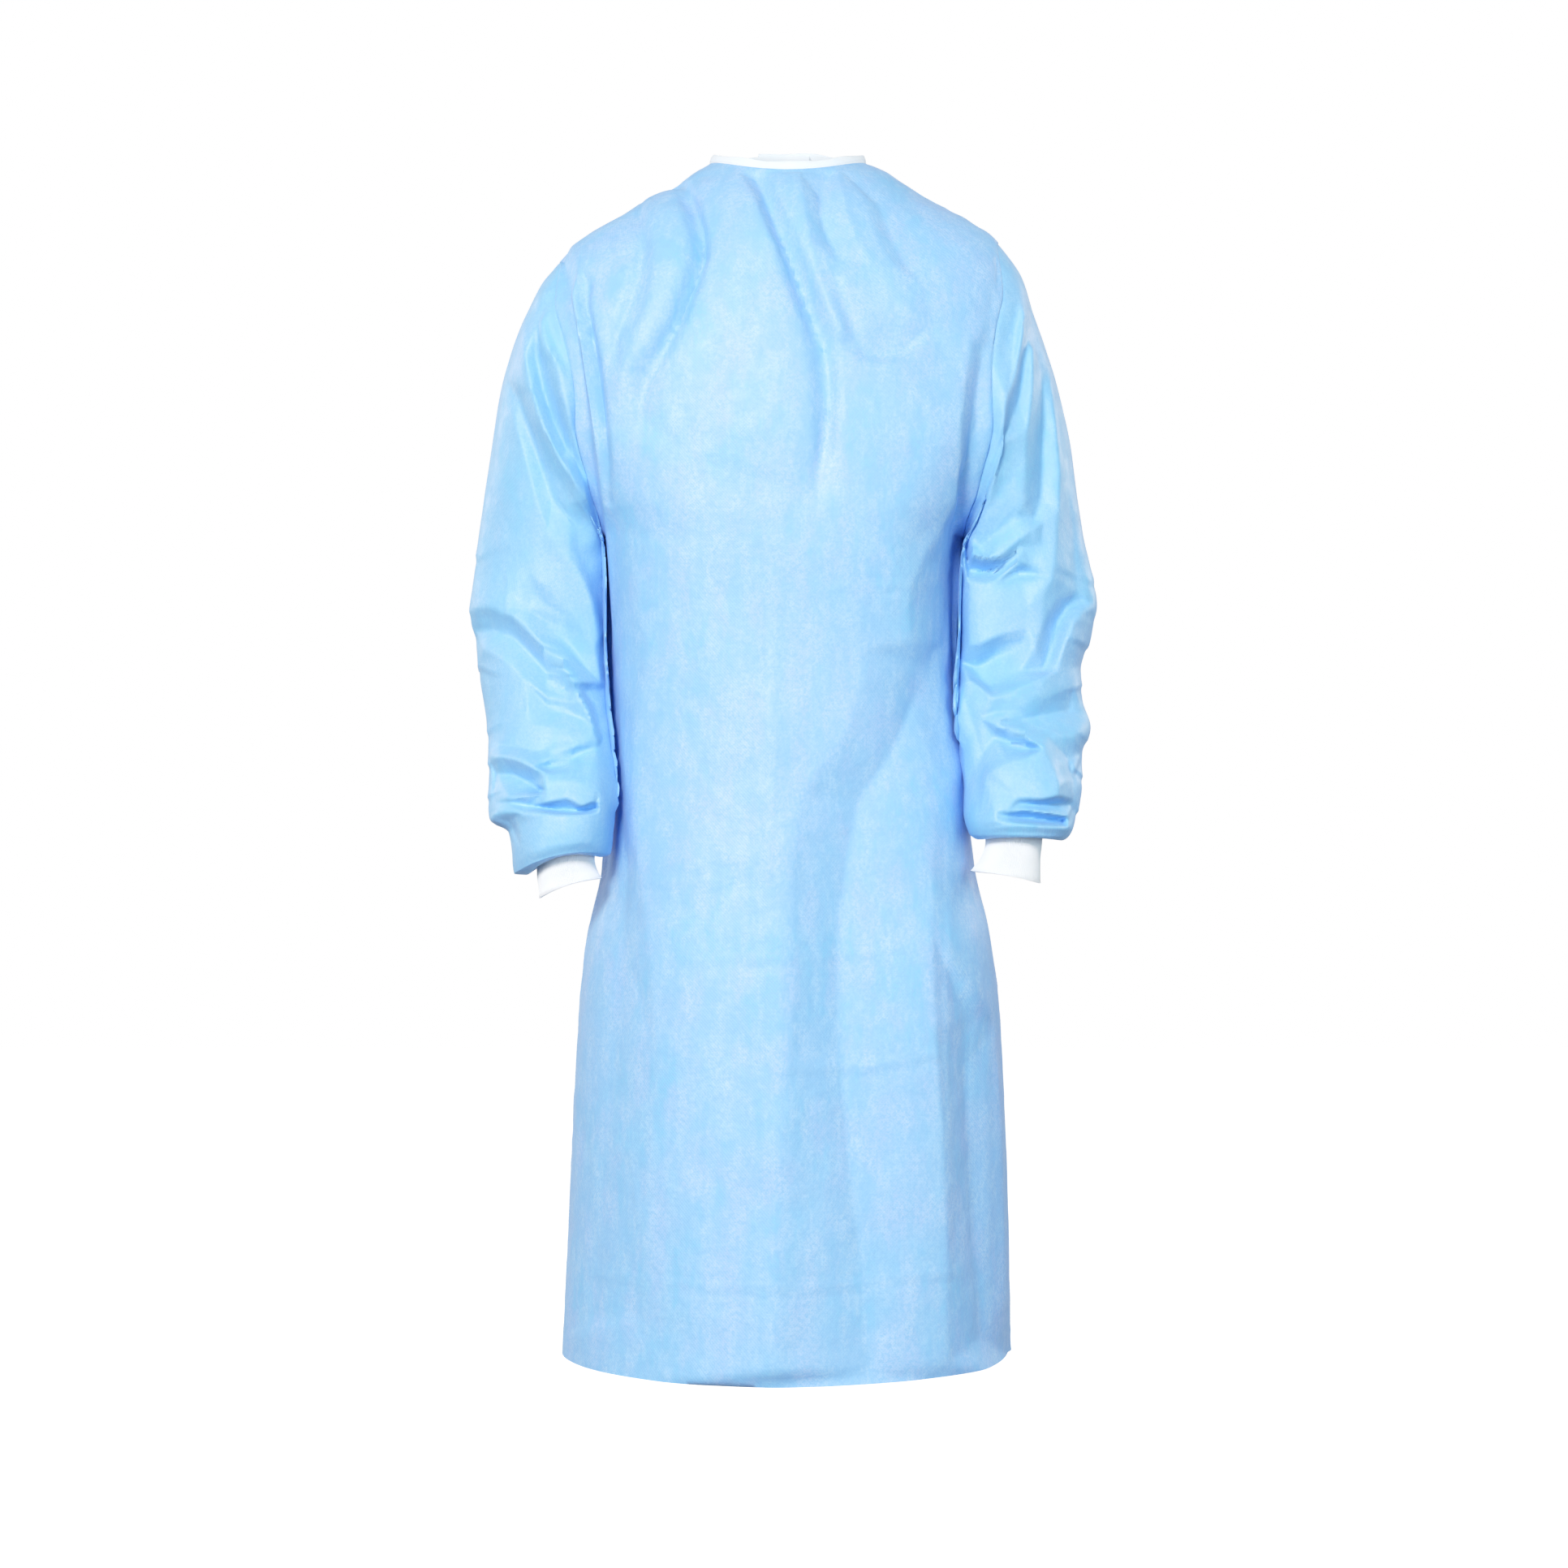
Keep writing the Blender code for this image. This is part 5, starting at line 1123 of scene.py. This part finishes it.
def cuff(side, top, table):
    """The grids of a rib-knit cuff that starts inside the sleeve's turned end."""
    turn = np.linspace(0, 2 * pi, CUFF_RIBS * CUFF_RIB_STEPS, endpoint=False)
    rings = [clear_of_body(ring_points(r, side, turn), side, CUFF_BODY_CLEAR) for r in (top,) + table]
    base, at, places = finer(np.array(rings), CUFF_STEPS)
    rib = (1 + np.cos(CUFF_RIBS * turn)) / 2
    to_edge = (places[-1] - at)[:, None]
    deep = CUFF_CLEAR + RIB_DEPTH * rib * (1 - CUFF_EDGE_FLAT * np.exp(-to_edge / CUFF_EDGE))
    deep = deep - CUFF_EDGE_PROUD * np.exp(-((to_edge / CUFF_EDGE) ** 2))
    if side > 0:
        base, deep = base[:, ::-1], deep[:, ::-1]
    normals = tube_normals(base)
    outer = base - normals * deep[..., None]
    return outer, base - normals * (CUFF_CLEAR + RIB_DEPTH + WALL)


# ================================================================ stitches
def stitched(name, rows, thread):
    """Short thread stitches along rows of points, each row with its outward directions."""
    ring = np.linspace(0, 2 * pi, STITCH_SIDES, endpoint=False)
    points, faces = [], []
    for path, normals in rows:
        along = np.concatenate([[0], np.cumsum(np.linalg.norm(np.diff(path, axis=0), axis=1))])
        count = int(along[-1] / STITCH_PITCH)
        at = (np.arange(count) + 0.5) * along[-1] / count
        middle, up, ahead = (
            np.stack([np.interp(at, along, values[:, axis]) for axis in range(3)], axis=1)
            for values in (path, normals, np.gradient(path, axis=0))
        )
        ahead, up = unit(ahead), unit(up)
        aside = np.cross(ahead, up)
        for number in range(count):
            start = len(points) * STITCH_SIDES
            for place, thick in STITCH_FORM:
                centre = middle[number] + ahead[number] * place * STITCH_LENGTH / 2
                spoke = np.cos(ring)[:, None] * aside[number] + np.sin(ring)[:, None] * up[number]
                points.append(centre + spoke * thick * STITCH_THICK / 2)
            turns = np.arange(STITCH_SIDES)
            following = (turns + 1) % STITCH_SIDES
            for step in range(len(STITCH_FORM) - 1):
                low = start + step * STITCH_SIDES
                high = low + STITCH_SIDES
                faces += zip(low + turns, low + following, high + following, high + turns)
            faces.append(tuple(start + turns[::-1]))
            faces.append(tuple(start + (len(STITCH_FORM) - 1) * STITCH_SIDES + turns))
    mesh = bpy.data.meshes.new(name)
    mesh.from_pydata(np.concatenate(points).tolist(), [], [tuple(map(int, face)) for face in faces])
    return add_object(name, mesh, thread)


# ================================================================ materials
def shader(name, colour, roughness, sheen, specular):
    """A material's node tree and its shader, with the numbers that are the same all over."""
    made = bpy.data.materials.new(name)
    made.use_nodes = True
    tree = made.node_tree
    principled = tree.nodes["Principled BSDF"]
    principled.inputs["Base Color"].default_value = (*colour, 1)
    principled.inputs["Roughness"].default_value = roughness
    principled.inputs["Metallic"].default_value = 0
    principled.inputs["Specular IOR Level"].default_value = specular
    principled.inputs["Sheen Weight"].default_value = sheen
    principled.inputs["Sheen Roughness"].default_value = 0.5
    return made, tree, principled


def add(tree, kind, settings=(), **inputs):
    """A node with its settings; inputs are values, or sockets to link. Spaces in names are _."""
    made = tree.nodes.new(kind)
    for name, value in dict(settings).items():
        setattr(made, name, value)
    for name, value in inputs.items():
        socket = made.inputs[int(name[1:]) if name[1:].isdigit() else name.replace("_", " ")]
        if isinstance(value, bpy.types.NodeSocket):
            tree.links.new(value, socket)
        else:
            socket.default_value = value
    return made.outputs[0]


def coordinates(tree, which, scale=(1, 1, 1)):
    source = tree.nodes.new("ShaderNodeTexCoord").outputs[which]
    return add(tree, "ShaderNodeMapping", Vector=source, Scale=scale)


def mixed(tree, share, first, second):
    made = tree.nodes.new("ShaderNodeMix")
    made.data_type = "RGBA"
    tree.links.new(share, made.inputs[0])
    for socket, value in ((made.inputs[6], first), (made.inputs[7], second)):
        if isinstance(value, bpy.types.NodeSocket):
            tree.links.new(value, socket)
        else:
            socket.default_value = (*value, 1)
    return made.outputs[2]


def ranged(tree, value, low, high, to_low, to_high):
    made = tree.nodes.new("ShaderNodeMapRange")
    tree.links.new(value, made.inputs["Value"])
    for name, number in (("From Min", low), ("From Max", high), ("To Min", to_low), ("To Max", to_high)):
        made.inputs[name].default_value = number
    return made.outputs[0]


def noise(tree, vector, scale, detail=2.0, roughness=0.5):
    return add(tree, "ShaderNodeTexNoise", Vector=vector, Scale=scale, Detail=detail, Roughness=roughness)


def clouds(tree, layer, share=1.0):
    """A layer of clouds from 0 to the share of it that shows."""
    place = coordinates(tree, "Object", (1, 1, layer.drawn))
    shape = noise(tree, place, layer.scale, layer.detail, layer.rough)
    return ranged(tree, shape, layer.start, layer.full, 0, layer.share * share)


def maths(tree, operation, first, second=0.0):
    return add(tree, "ShaderNodeMath", {"operation": operation}, _0=first, _1=second)


def embossed(tree, pitch_x, pitch_y):
    """Small points in a grid, 0 to 1, at a pitch each way in metres of the cloth."""
    place = coordinates(tree, "UV", (2 * pi / pitch_x, 2 * pi / pitch_y, 1))
    split = tree.nodes.new("ShaderNodeSeparateXYZ")
    tree.links.new(place, split.inputs[0])
    across = maths(tree, "SINE", split.outputs[0])
    down = maths(tree, "SINE", split.outputs[1])
    return ranged(tree, maths(tree, "MULTIPLY", across, down), -1, 1, 0, 1)


def bumped(tree, principled, layers):
    """Bump layers, each a height socket with its depth in metres."""
    normal = None
    for height, depth in layers:
        inputs = {"Height": height, "Distance": depth, "Strength": 1.0}
        if normal is not None:
            inputs["Normal"] = normal
        normal = add(tree, "ShaderNodeBump", **inputs)
    tree.links.new(normal, principled.inputs["Normal"])


def nonwoven(name, tint=1.0, mottle=1.0, roughness=0.50):
    """Blue spunbond cloth: cloudy fibres, a grid of embossed points and a satin sheen. mottle is
    how much of the cloudiness shows."""
    base, cyan, lavender, pale = (np.array(colour) * tint for colour in BLUES)
    made, tree, principled = shader(name, base, roughness, 0.06, 0.45)
    place = coordinates(tree, "Object")
    points = embossed(tree, EMBOSS, EMBOSS * EMBOSS_TALL)
    colour = mixed(tree, clouds(tree, BROAD_CLOUD), base, cyan)
    colour = mixed(tree, clouds(tree, PATCHES, mottle), colour, lavender)
    colour = mixed(tree, clouds(tree, BLOTS, mottle), colour, pale)
    colour = mixed(tree, clouds(tree, STREAKS, mottle), colour, pale)
    colour = mixed(tree, clouds(tree, FLECKS), colour, base * FLECK)
    colour = mixed(tree, ranged(tree, points, 0.7, 1, 0, 0.35), colour, base * 0.82)
    tree.links.new(colour, principled.inputs["Base Color"])
    rough = ranged(tree, noise(tree, place, 60, 3, 0.6), 0.3, 0.7, roughness - 0.09, roughness + 0.10)
    tree.links.new(rough, principled.inputs["Roughness"])
    fibres = noise(tree, coordinates(tree, "UV", (900, 2600, 1)), 1, 4, 0.65)
    crinkle = noise(tree, place, 130, 4, 0.6)
    ripple = noise(tree, place, 48, 2, 0.5)
    bumped(tree, principled, [
        (ripple, 0.0011), (crinkle, 0.00042), (fibres, 0.00005), (points, -0.00009),
    ])
    return made


def knitted():
    """White knit: each rib a column of small stitches, a little fuzzy."""
    made, tree, principled = shader("white_rib_knit", WHITE_KNIT, 0.85, 0.35, 0.25)
    place = coordinates(tree, "Object")
    loops = embossed(tree, KNIT_PITCH * 2, KNIT_PITCH)
    colour = mixed(tree, clouds(tree, KNIT_SHADE), WHITE_KNIT, WHITE_KNIT * np.array([0.95, 0.97, 0.99]))
    colour = mixed(tree, ranged(tree, loops, 0.0, 0.45, 0.35, 0), colour, WHITE_KNIT * 0.86)
    tree.links.new(colour, principled.inputs["Base Color"])
    rough = ranged(tree, loops, 0, 1, 0.92, 0.80)
    tree.links.new(rough, principled.inputs["Roughness"])
    bumped(tree, principled, [(noise(tree, place, 900, 3, 0.7), 0.00012), (loops, 0.00022)])
    return made


def bound(name, colour):
    """White bias binding: a fine close weave with faint wrinkles across it."""
    made, tree, principled = shader(name, colour, 0.62, 0.20, 0.30)
    place = coordinates(tree, "Object")
    threads = embossed(tree, WEAVE, WEAVE)
    mottle = clouds(tree, BINDING_SHADE)
    colours = mixed(tree, mottle, colour, colour * np.array([0.93, 0.97, 1.0]))
    colours = mixed(tree, ranged(tree, threads, 0, 0.5, 0.3, 0), colours, colour * 0.90)
    tree.links.new(colours, principled.inputs["Base Color"])
    rough = ranged(tree, mottle, 0, 1, 0.56, 0.70)
    tree.links.new(rough, principled.inputs["Roughness"])
    bumped(tree, principled, [(noise(tree, place, 160, 3, 0.6), 0.0005), (threads, 0.00006)])
    return made


def threaded(name, colour):
    """Sewing thread: twisted, slightly glossy."""
    made, tree, principled = shader(name, colour, 0.45, 0.1, 0.4)
    place = coordinates(tree, "Object")
    twist = add(tree, "ShaderNodeTexWave", {"bands_direction": "DIAGONAL"}, Vector=place, Scale=900.0)
    twisted = mixed(tree, twist, colour * 0.85, colour)
    tree.links.new(twisted, principled.inputs["Base Color"])
    tree.links.new(ranged(tree, twist, 0, 1, 0.55, 0.40), principled.inputs["Roughness"])
    bumped(tree, principled, [(twist, 0.00004)])
    return made


def floor_cover():
    made, tree, principled = shader("pale_floor", (0.86, 0.87, 0.88), 0.7, 0.0, 0.2)
    place = coordinates(tree, "Object")
    cloud = ranged(tree, noise(tree, place, 2.5, 3, 0.5), 0.3, 0.7, 0.66, 0.74)
    tree.links.new(cloud, principled.inputs["Roughness"])
    principled.inputs["Emission Color"].default_value = (1, 1, 1, 1)
    principled.inputs["Emission Strength"].default_value = FLOOR_GLOW
    return made


# ================================================================ the gown
blue_cloth = nonwoven("blue_nonwoven")
sleeve_cloth = nonwoven("blue_nonwoven_sleeve", SLEEVE_TINT, mottle=0.5)
white_knit = knitted()
white_binding = bound("white_binding", WHITE_BINDING)
blue_thread = threaded("blue_thread", BLUE_THREAD)
white_thread = threaded("white_thread", WHITE_THREAD)

# Front and back panels
edge = front_edge(PANEL_DOWNS)
angle = spread(-edge, np.linspace(-FRONT_STEADY, FRONT_STEADY, MIDDLE_STEPS), edge)
front_relief = on_solid("front_panel", FRONT_CREASES, FRONT_NET)
front_grids = panel(angle, [0, -1], None, FRONT_FOLDS, *front_relief, SEEDS["front"])
front = sheet_object("front_cloth", *front_grids, blue_cloth)
edge = back_edge(PANEL_DOWNS)
over = 180 + past_centre(PANEL_DOWNS, OVERLAP_OVER)
under = 180 + past_centre(PANEL_DOWNS, OVERLAP_UNDER)
steady = np.linspace(BACK_STEADY, 180, BACK_STEPS)
angle = spread(edge, steady, over)
left_grids = panel(angle, [0], outer_back_lift, BACK_FOLDS, BACK_CREASES, None, SEEDS["back"])
back_left = sheet_object("back_left_cloth", *left_grids, blue_cloth)
angle = spread(-under, -steady[::-1], -edge)
right_grids = panel(angle, [-1], None, BACK_FOLDS, BACK_CREASES, None, SEEDS["back"])
back_right = sheet_object("back_right_cloth", *right_grids, blue_cloth)

# Sleeves and cuffs. A sleeve's hidden back has the other sleeve's creases.
sleeves, cuffs = {}, {}
left_relief = on_solid("sleeve_left", SLEEVE_LEFT_CREASES, SLEEVE_LEFT_NET)
right_relief = on_solid("sleeve_right", SLEEVE_RIGHT_CREASES, SLEEVE_RIGHT_NET)
for name, side, rings, folds, relief, flank_relief, ends in (
    ("left", 1, SLEEVE_LEFT, SLEEVE_LEFT_FOLDS, left_relief + right_relief, SIDE_LEFT_CREASES, CUFF_LEFT),
    ("right", -1, SLEEVE_RIGHT, SLEEVE_RIGHT_FOLDS, right_relief + left_relief, SIDE_RIGHT_CREASES,
     CUFF_RIGHT),
):
    grids = sleeve(side, rings, folds, *relief, flank_relief, SEEDS[name])
    sleeves[name] = sheet_object(f"sleeve_{name}_cloth", *grids, sleeve_cloth, tube=True)
    grids = cuff(side, rings[-1], ends)
    cuffs[name] = sheet_object(f"cuff_{name}_knit", *grids, white_knit, tube=True)

# Neck binding: one folded strip from the inner back's end, round the front, to the outer back's end
NECK = np.zeros(1)
first, last = -180 - past_centre(NECK, OVERLAP_UNDER), 180 + past_centre(NECK, OVERLAP_OVER)
angle = np.linspace(first, last, BINDING_STEPS).T
level = unit(outward(NECK, angle) * [1, 1, 0])
rise = (1 - np.cos(np.linspace(0, pi, BINDING_ROWS)))[::-1, None, None] / 2
height = BINDING_HEIGHT * rise
rim = body(NECK, angle) + outward(NECK, angle) * outer_back_lift(NECK, angle)[..., None]
swell = (1 - (2 * rise - 1) ** 2) ** 0.5
dent = BINDING_DENT * np.exp(-(((height - BINDING_STITCH) / BINDING_DENT_REACH) ** 2))
places = rim + height * [0, 0, 1]
pucker = sum(
    deep * crumple(places, size, seed)[..., None]
    for seed, (size, deep) in enumerate(BINDING_PUCKERS, start=5)
)
wave = BINDING_WAVE * np.sin(np.radians(angle) * 9 + 1)[..., None] * rise
middle = rim + (SEAM + height + wave) * [0, 0, 1]
middle += level * (BINDING_PROUD - BINDING_LEAN * height - BINDING_WALL / 2)
half = BINDING_WALL / 2 * (BINDING_EDGE + (1 - BINDING_EDGE) * swell)
outer = middle + level * (half - dent + pucker * swell)
inner = middle - level * half
binding = sheet_object("neck_binding_cloth", outer, inner, white_binding)
line = np.argmin(np.abs(height[:, 0, 0] - BINDING_STITCH))
binding_seam = outer[line] + level[0] * STITCH_THICK / 4, level[0]

# The tab that closes the nape
share = np.linspace(-1, 1, TAB_ROWS)[:, None]
down = (TAB[0] + TAB[1]) / 2 + (TAB[1] - TAB[0]) / 2 * share
inset = TAB_CORNER * (1 - np.sqrt(np.clip(1 - np.clip(np.abs(share) - 0.5, 0, 1) ** 2 * 4, 0, 1)))
edge_x = -OVERLAP_OVER * overlap_share(down)
first = across_back(down, edge_x + TAB_BEFORE - inset)
last = across_back(down, edge_x - TAB_BEYOND + inset)
angle = first + (last - first) * np.linspace(0, 1, TAB_COLUMNS)
lift = over_edge(angle, across_back(down, edge_x)) + CLEAR_OF_CRUMPLE
outer, inner = patch(down, angle, lift, TAB_WALL)
tab = sheet_object("neck_tab_cloth", outer, inner, white_binding)
direction = outward(down, angle)
ROW, COLUMN = slice(2, -2), slice(1, -1)
TAB_LINES = ((1, ROW), (TAB_ROWS - 2, ROW), (COLUMN, 2), (COLUMN, TAB_COLUMNS - 3))
tab_rows = [(outer[line], direction[line]) for line in TAB_LINES]


# Waist ties, from the side seams to the knot, narrowing into it in pleats
def pleats(share, across):
    """The relief of a tie's pleats, which deepen toward the knot at share 1."""
    deep = TIE_PLEAT * soft_step((share - TIE_PLEATED) / 0.6)
    return deep * (1 + np.cos(across * pi * TIE_PLEATS + 0.6 * np.sin(share * 7))) / 2


def tie(name, angles, share, lift):
    """A waist tie on the body, at angles along it. share is 0 at its seam and 1 at the knot."""
    across = np.linspace(-1, 1, TIE_ROWS)[:, None]
    narrow = 1 - (1 - TIE_AT_KNOT) * soft_step((share - TIE_NARROWS) / (1 - TIE_NARROWS))
    down = TIE_DOWN + TIE_WIDTH / 2 * across * narrow
    wrinkle = TIE_WRINKLE * (1 + crumple(body(down, angles), TIE_WRINKLE_SIZE, 9))
    wrinkle *= soft_step(share / 0.1)
    over = lift(down, angles) + pleats(share, across) + wrinkle
    outer, inner = patch(down, angles, over, TIE_THIN)
    return sheet_object(name, outer, inner, blue_cloth)


def left_lift(down, angles):
    return TIE_LIFT + outer_back_lift(down, angles + TIE_EARLY)


def right_lift(down, angles):
    waist = np.array([[TIE_DOWN]])
    return over_edge(angles, across_back(waist, -OVERLAP_OVER * overlap_share(waist)))


down = np.array([[TIE_DOWN]])
near, far = (across_back(down, side * KNOT[0] * KNOT_INSIDE) for side in (1, -1))
share = np.linspace(0, 1, TIE_STEPS)[None, :]
tie_left = tie("waist_tie_left_cloth", TIE_START + (near - TIE_START) * share, share, left_lift)
tie_right = tie("waist_tie_right_cloth", far + (360 - TIE_START - far) * share, 1 - share, right_lift)


# The knot: a wrapped band over two pleated lobes, and its hanging tails
def lobe(name, shape, axes, seed):
    """A rounded pleated wad of cloth at the knot, its axes given as rows."""
    half, stands_out, pleat_count = shape
    turn = np.linspace(0, 2 * pi, KNOT_SIDES, endpoint=False)
    climb = np.linspace(0.04, pi - 0.04, KNOT_RINGS)[:, None]
    relief = 1 + KNOT_PLEAT * np.cos(pleat_count * turn + 1.5 * np.cos(climb)) * np.sin(climb)
    ball = np.stack([
        np.cos(climb) + 0 * turn,
        np.sin(climb) * np.cos(turn) * relief,
        np.sin(climb) * np.sin(turn) * relief,
    ], axis=-1)
    ball = ball * (1 + KNOT_LUMP * crumple(ball, 0.45, seed)[..., None])
    return tube_capped(name, knot_seat + behind * stands_out + (ball * half) @ axes, blue_cloth)


def tube_capped(name, grid, cloth):
    """A closed form from a tube's rings, each end drawn in to a point."""
    rings, sides = grid.shape[:2]
    index = np.arange(rings * sides).reshape(rings, sides)
    index = np.concatenate([index, index[:, :1]], axis=1)
    points = np.concatenate([grid.reshape(-1, 3), grid[:1].mean(axis=1), grid[-1:].mean(axis=1)])
    faces = quads(index).tolist()
    faces += [[rings * sides, int(a), int(b)] for a, b in zip(index[0, :-1], index[0, 1:])]
    faces += [[rings * sides + 1, int(b), int(a)] for a, b in zip(index[-1, :-1], index[-1, 1:])]
    mesh = bpy.data.meshes.new(name)
    mesh.from_pydata(points.tolist(), [], faces)
    return add_object(name, mesh, cloth)


centre = np.array([TIE_DOWN]), across_back(np.array([TIE_DOWN]), 0)
behind = outward(*centre)[0]
knot_seat = body(*centre)[0] + behind * (OVERLAP_LIFT + TIE_LIFT + KNOT[1])
aside = unit(np.cross(behind, [0, 0, 1]))
upward = np.cross(aside, behind)
lobe_axes = [
    np.array([unit(aside + lean * upward), behind, unit(upward - lean * aside)]) for lean in LOBE_LEAN
]
knot_lobes = [
    lobe("knot_lobe_left", LOBE_LEFT, lobe_axes[0], 61),
    lobe("knot_lobe_right", LOBE_RIGHT, lobe_axes[1], 62),
]
knot_wrap = lobe("knot_wrap", KNOT_WRAP, np.array([upward, behind, -aside]), 63)

tails = {}
for name, side in (("left", 1), ("right", -1)):
    share = np.linspace(0, 1, TAIL_ROWS)[:, None]
    across = np.linspace(0, 1, TAIL_COLUMNS)
    down = TIE_DOWN + KNOT[2] * 0.5 + (TAIL_LENGTHS[name] + KNOT[2] * 0.5) * share
    start = SEAM + TAIL_SPREAD * share
    width = TAIL_AT_KNOT + (TAIL_WIDENS[1] - TAIL_AT_KNOT) * soft_step(share / TAIL_WIDENS[0])
    width = TIE_WIDTH * width
    edges = [across_back(down, side * start), across_back(down, side * (start + width))]
    first, last = edges if side < 0 else edges[::-1]
    angle = first + (last - first) * across
    folded = TIE_PLEAT * (1 - soft_step(share / TAIL_PLEATED))
    folded = folded * (1 + np.cos(across * pi * TAIL_PLEATS)) / 2
    wave = TAIL_WAVE * soft_step(share / 0.3) * (1 + np.sin(share * 13 + 2 * across + side))
    lift = TIE_LIFT + OVERLAP_LIFT + folded + wave
    grids = patch(down, angle, lift, TIE_THIN)
    tails[name] = sheet_object(f"tie_tail_{name}_cloth", *grids, blue_cloth)


# Stitches: beside each armhole, along the shoulders and down the side seams, and round the hem
def sewn(grid, line):
    """A line of stitches on a panel: its points and their outward directions."""
    direction = grid_normals(grid)[line]
    return grid[line] + direction * STITCH_THICK / 4, direction


BELOW_NECK, HEM_LINE = slice(2, None), (-HEM_ROW, slice(1, -1))
seams = [
    sewn(front_grids[0], (BELOW_NECK, STITCH_COLUMN)),
    sewn(front_grids[0], (BELOW_NECK, -1 - STITCH_COLUMN)),
    sewn(left_grids[0], (BELOW_NECK, STITCH_COLUMN)),
    sewn(right_grids[0], (BELOW_NECK, -1 - STITCH_COLUMN)),
]
stitch_object = stitched("seam_stitches", seams, blue_thread)
hems = [sewn(grids[0], HEM_LINE) for grids in (front_grids, left_grids, right_grids)]
hem_object = stitched("hem_stitches", hems, blue_thread)
binding_object = stitched("binding_stitches", [binding_seam] + tab_rows, white_thread)

# ================================================================ what each piece stands for and its cut, listed only; each solid is hidden
BLUE, KNIT, TAPE = "blue_nonwoven", "white_rib_knit", "white_binding"
CUTS = (
    (front, "front_panel", BLUE, (0.600, 1.200), 0.590, "hung", "neck_binding", [stitch_object]),
    (back_left, "back_left", BLUE, (0.380, 1.210), 0.375, "hung", "neck_binding", []),
    (back_right, "back_right", BLUE, (0.360, 1.210), 0.352, "hung", "neck_binding", []),
    (sleeves["left"], "sleeve_left", BLUE, (0.680, 0.530), 0.215, "gathered", "front_panel", []),
    (sleeves["right"], "sleeve_right", BLUE, (0.660, 0.550), 0.225, "gathered", "front_panel", []),
    (cuffs["left"], "cuff_left", KNIT, (0.180, 0.052), None, "stretched", "sleeve_left", []),
    (cuffs["right"], "cuff_right", KNIT, (0.180, 0.046), None, "stretched", "sleeve_right", []),
    (binding, "neck_binding", TAPE, (0.470, 0.010), None, "folded", "front_panel", [binding_object]),
    (tab, "neck_tab", TAPE, (0.067, 0.026), None, "laid", "back_left", []),
    (tie_left, "waist_tie_left", BLUE, (0.205, 0.030), None, "gathered", "back_left", knot_lobes),
    (tie_right, "waist_tie_right", BLUE, (0.205, 0.030), None, "gathered", "back_left", []),
    (tails["left"], "tie_tail_left", BLUE, (0.030, 0.245), None, "hung", "waist_knot", []),
    (tails["right"], "tie_tail_right", BLUE, (0.030, 0.215), None, "hung", "waist_knot", []),
)
for piece, node, slot, flat, area, held, over, along in CUTS:
    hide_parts(node)
    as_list(along)
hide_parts("waist_knot")

# ================================================================ the floor, the light and the camera
bpy.ops.mesh.primitive_plane_add(size=FLOOR_SIZE, location=(0, 0, FLOOR))
floor = bpy.context.active_object
floor.name = "floor"
floor.data.materials.append(floor_cover())
floor.visible_diffuse = False
floor.visible_glossy = False

world = bpy.data.worlds.new("studio")
bpy.context.scene.world = world
world.use_nodes = True
tree = world.node_tree
ground = tree.nodes["Background"]
ground.inputs["Color"].default_value = (1.0, 1.0, 1.0, 1)
split = tree.nodes.new("ShaderNodeSeparateXYZ")
tree.links.new(tree.nodes.new("ShaderNodeTexCoord").outputs["Generated"], split.inputs[0])
sky = ranged(tree, split.outputs[1], *SKY_TURN, *SKY_LIGHT)
seen = tree.nodes.new("ShaderNodeLightPath").outputs["Is Camera Ray"]
shown = maths(tree, "MULTIPLY", seen, WHITE_AT)
tree.links.new(maths(tree, "MAXIMUM", sky, shown), ground.inputs["Strength"])

for name, place, size, power, tint in LAMPS:
    lamp = bpy.data.lights.new(name, "AREA")
    lamp.shape = "RECTANGLE"
    lamp.size, lamp.size_y = size
    lamp.energy = power
    lamp.color = tint
    lit = bpy.data.objects.new(name, lamp)
    lit.location = place
    lit.rotation_euler = (Vector(AIM) - Vector(place)).to_track_quat("-Z", "Y").to_euler()
    bpy.context.collection.objects.link(lit)

camera = bpy.data.cameras.new("camera")
camera.lens = CAMERA_LENS
camera.sensor_width = CAMERA_SENSOR
tripod = bpy.data.objects.new("camera", camera)
tripod.location = CAMERA_PLACE
tripod.rotation_euler = (pi / 2, 0, 0)
bpy.context.collection.objects.link(tripod)
bpy.context.scene.camera = tripod
look = bpy.context.scene.view_settings
look.view_transform = "Standard"
look.use_curve_mapping = True
look.curve_mapping.white_level = (WHITE_AT,) * 3
for light, bright in TONES:
    look.curve_mapping.curves[3].points.new(light / WHITE_AT, bright)
look.curve_mapping.update()
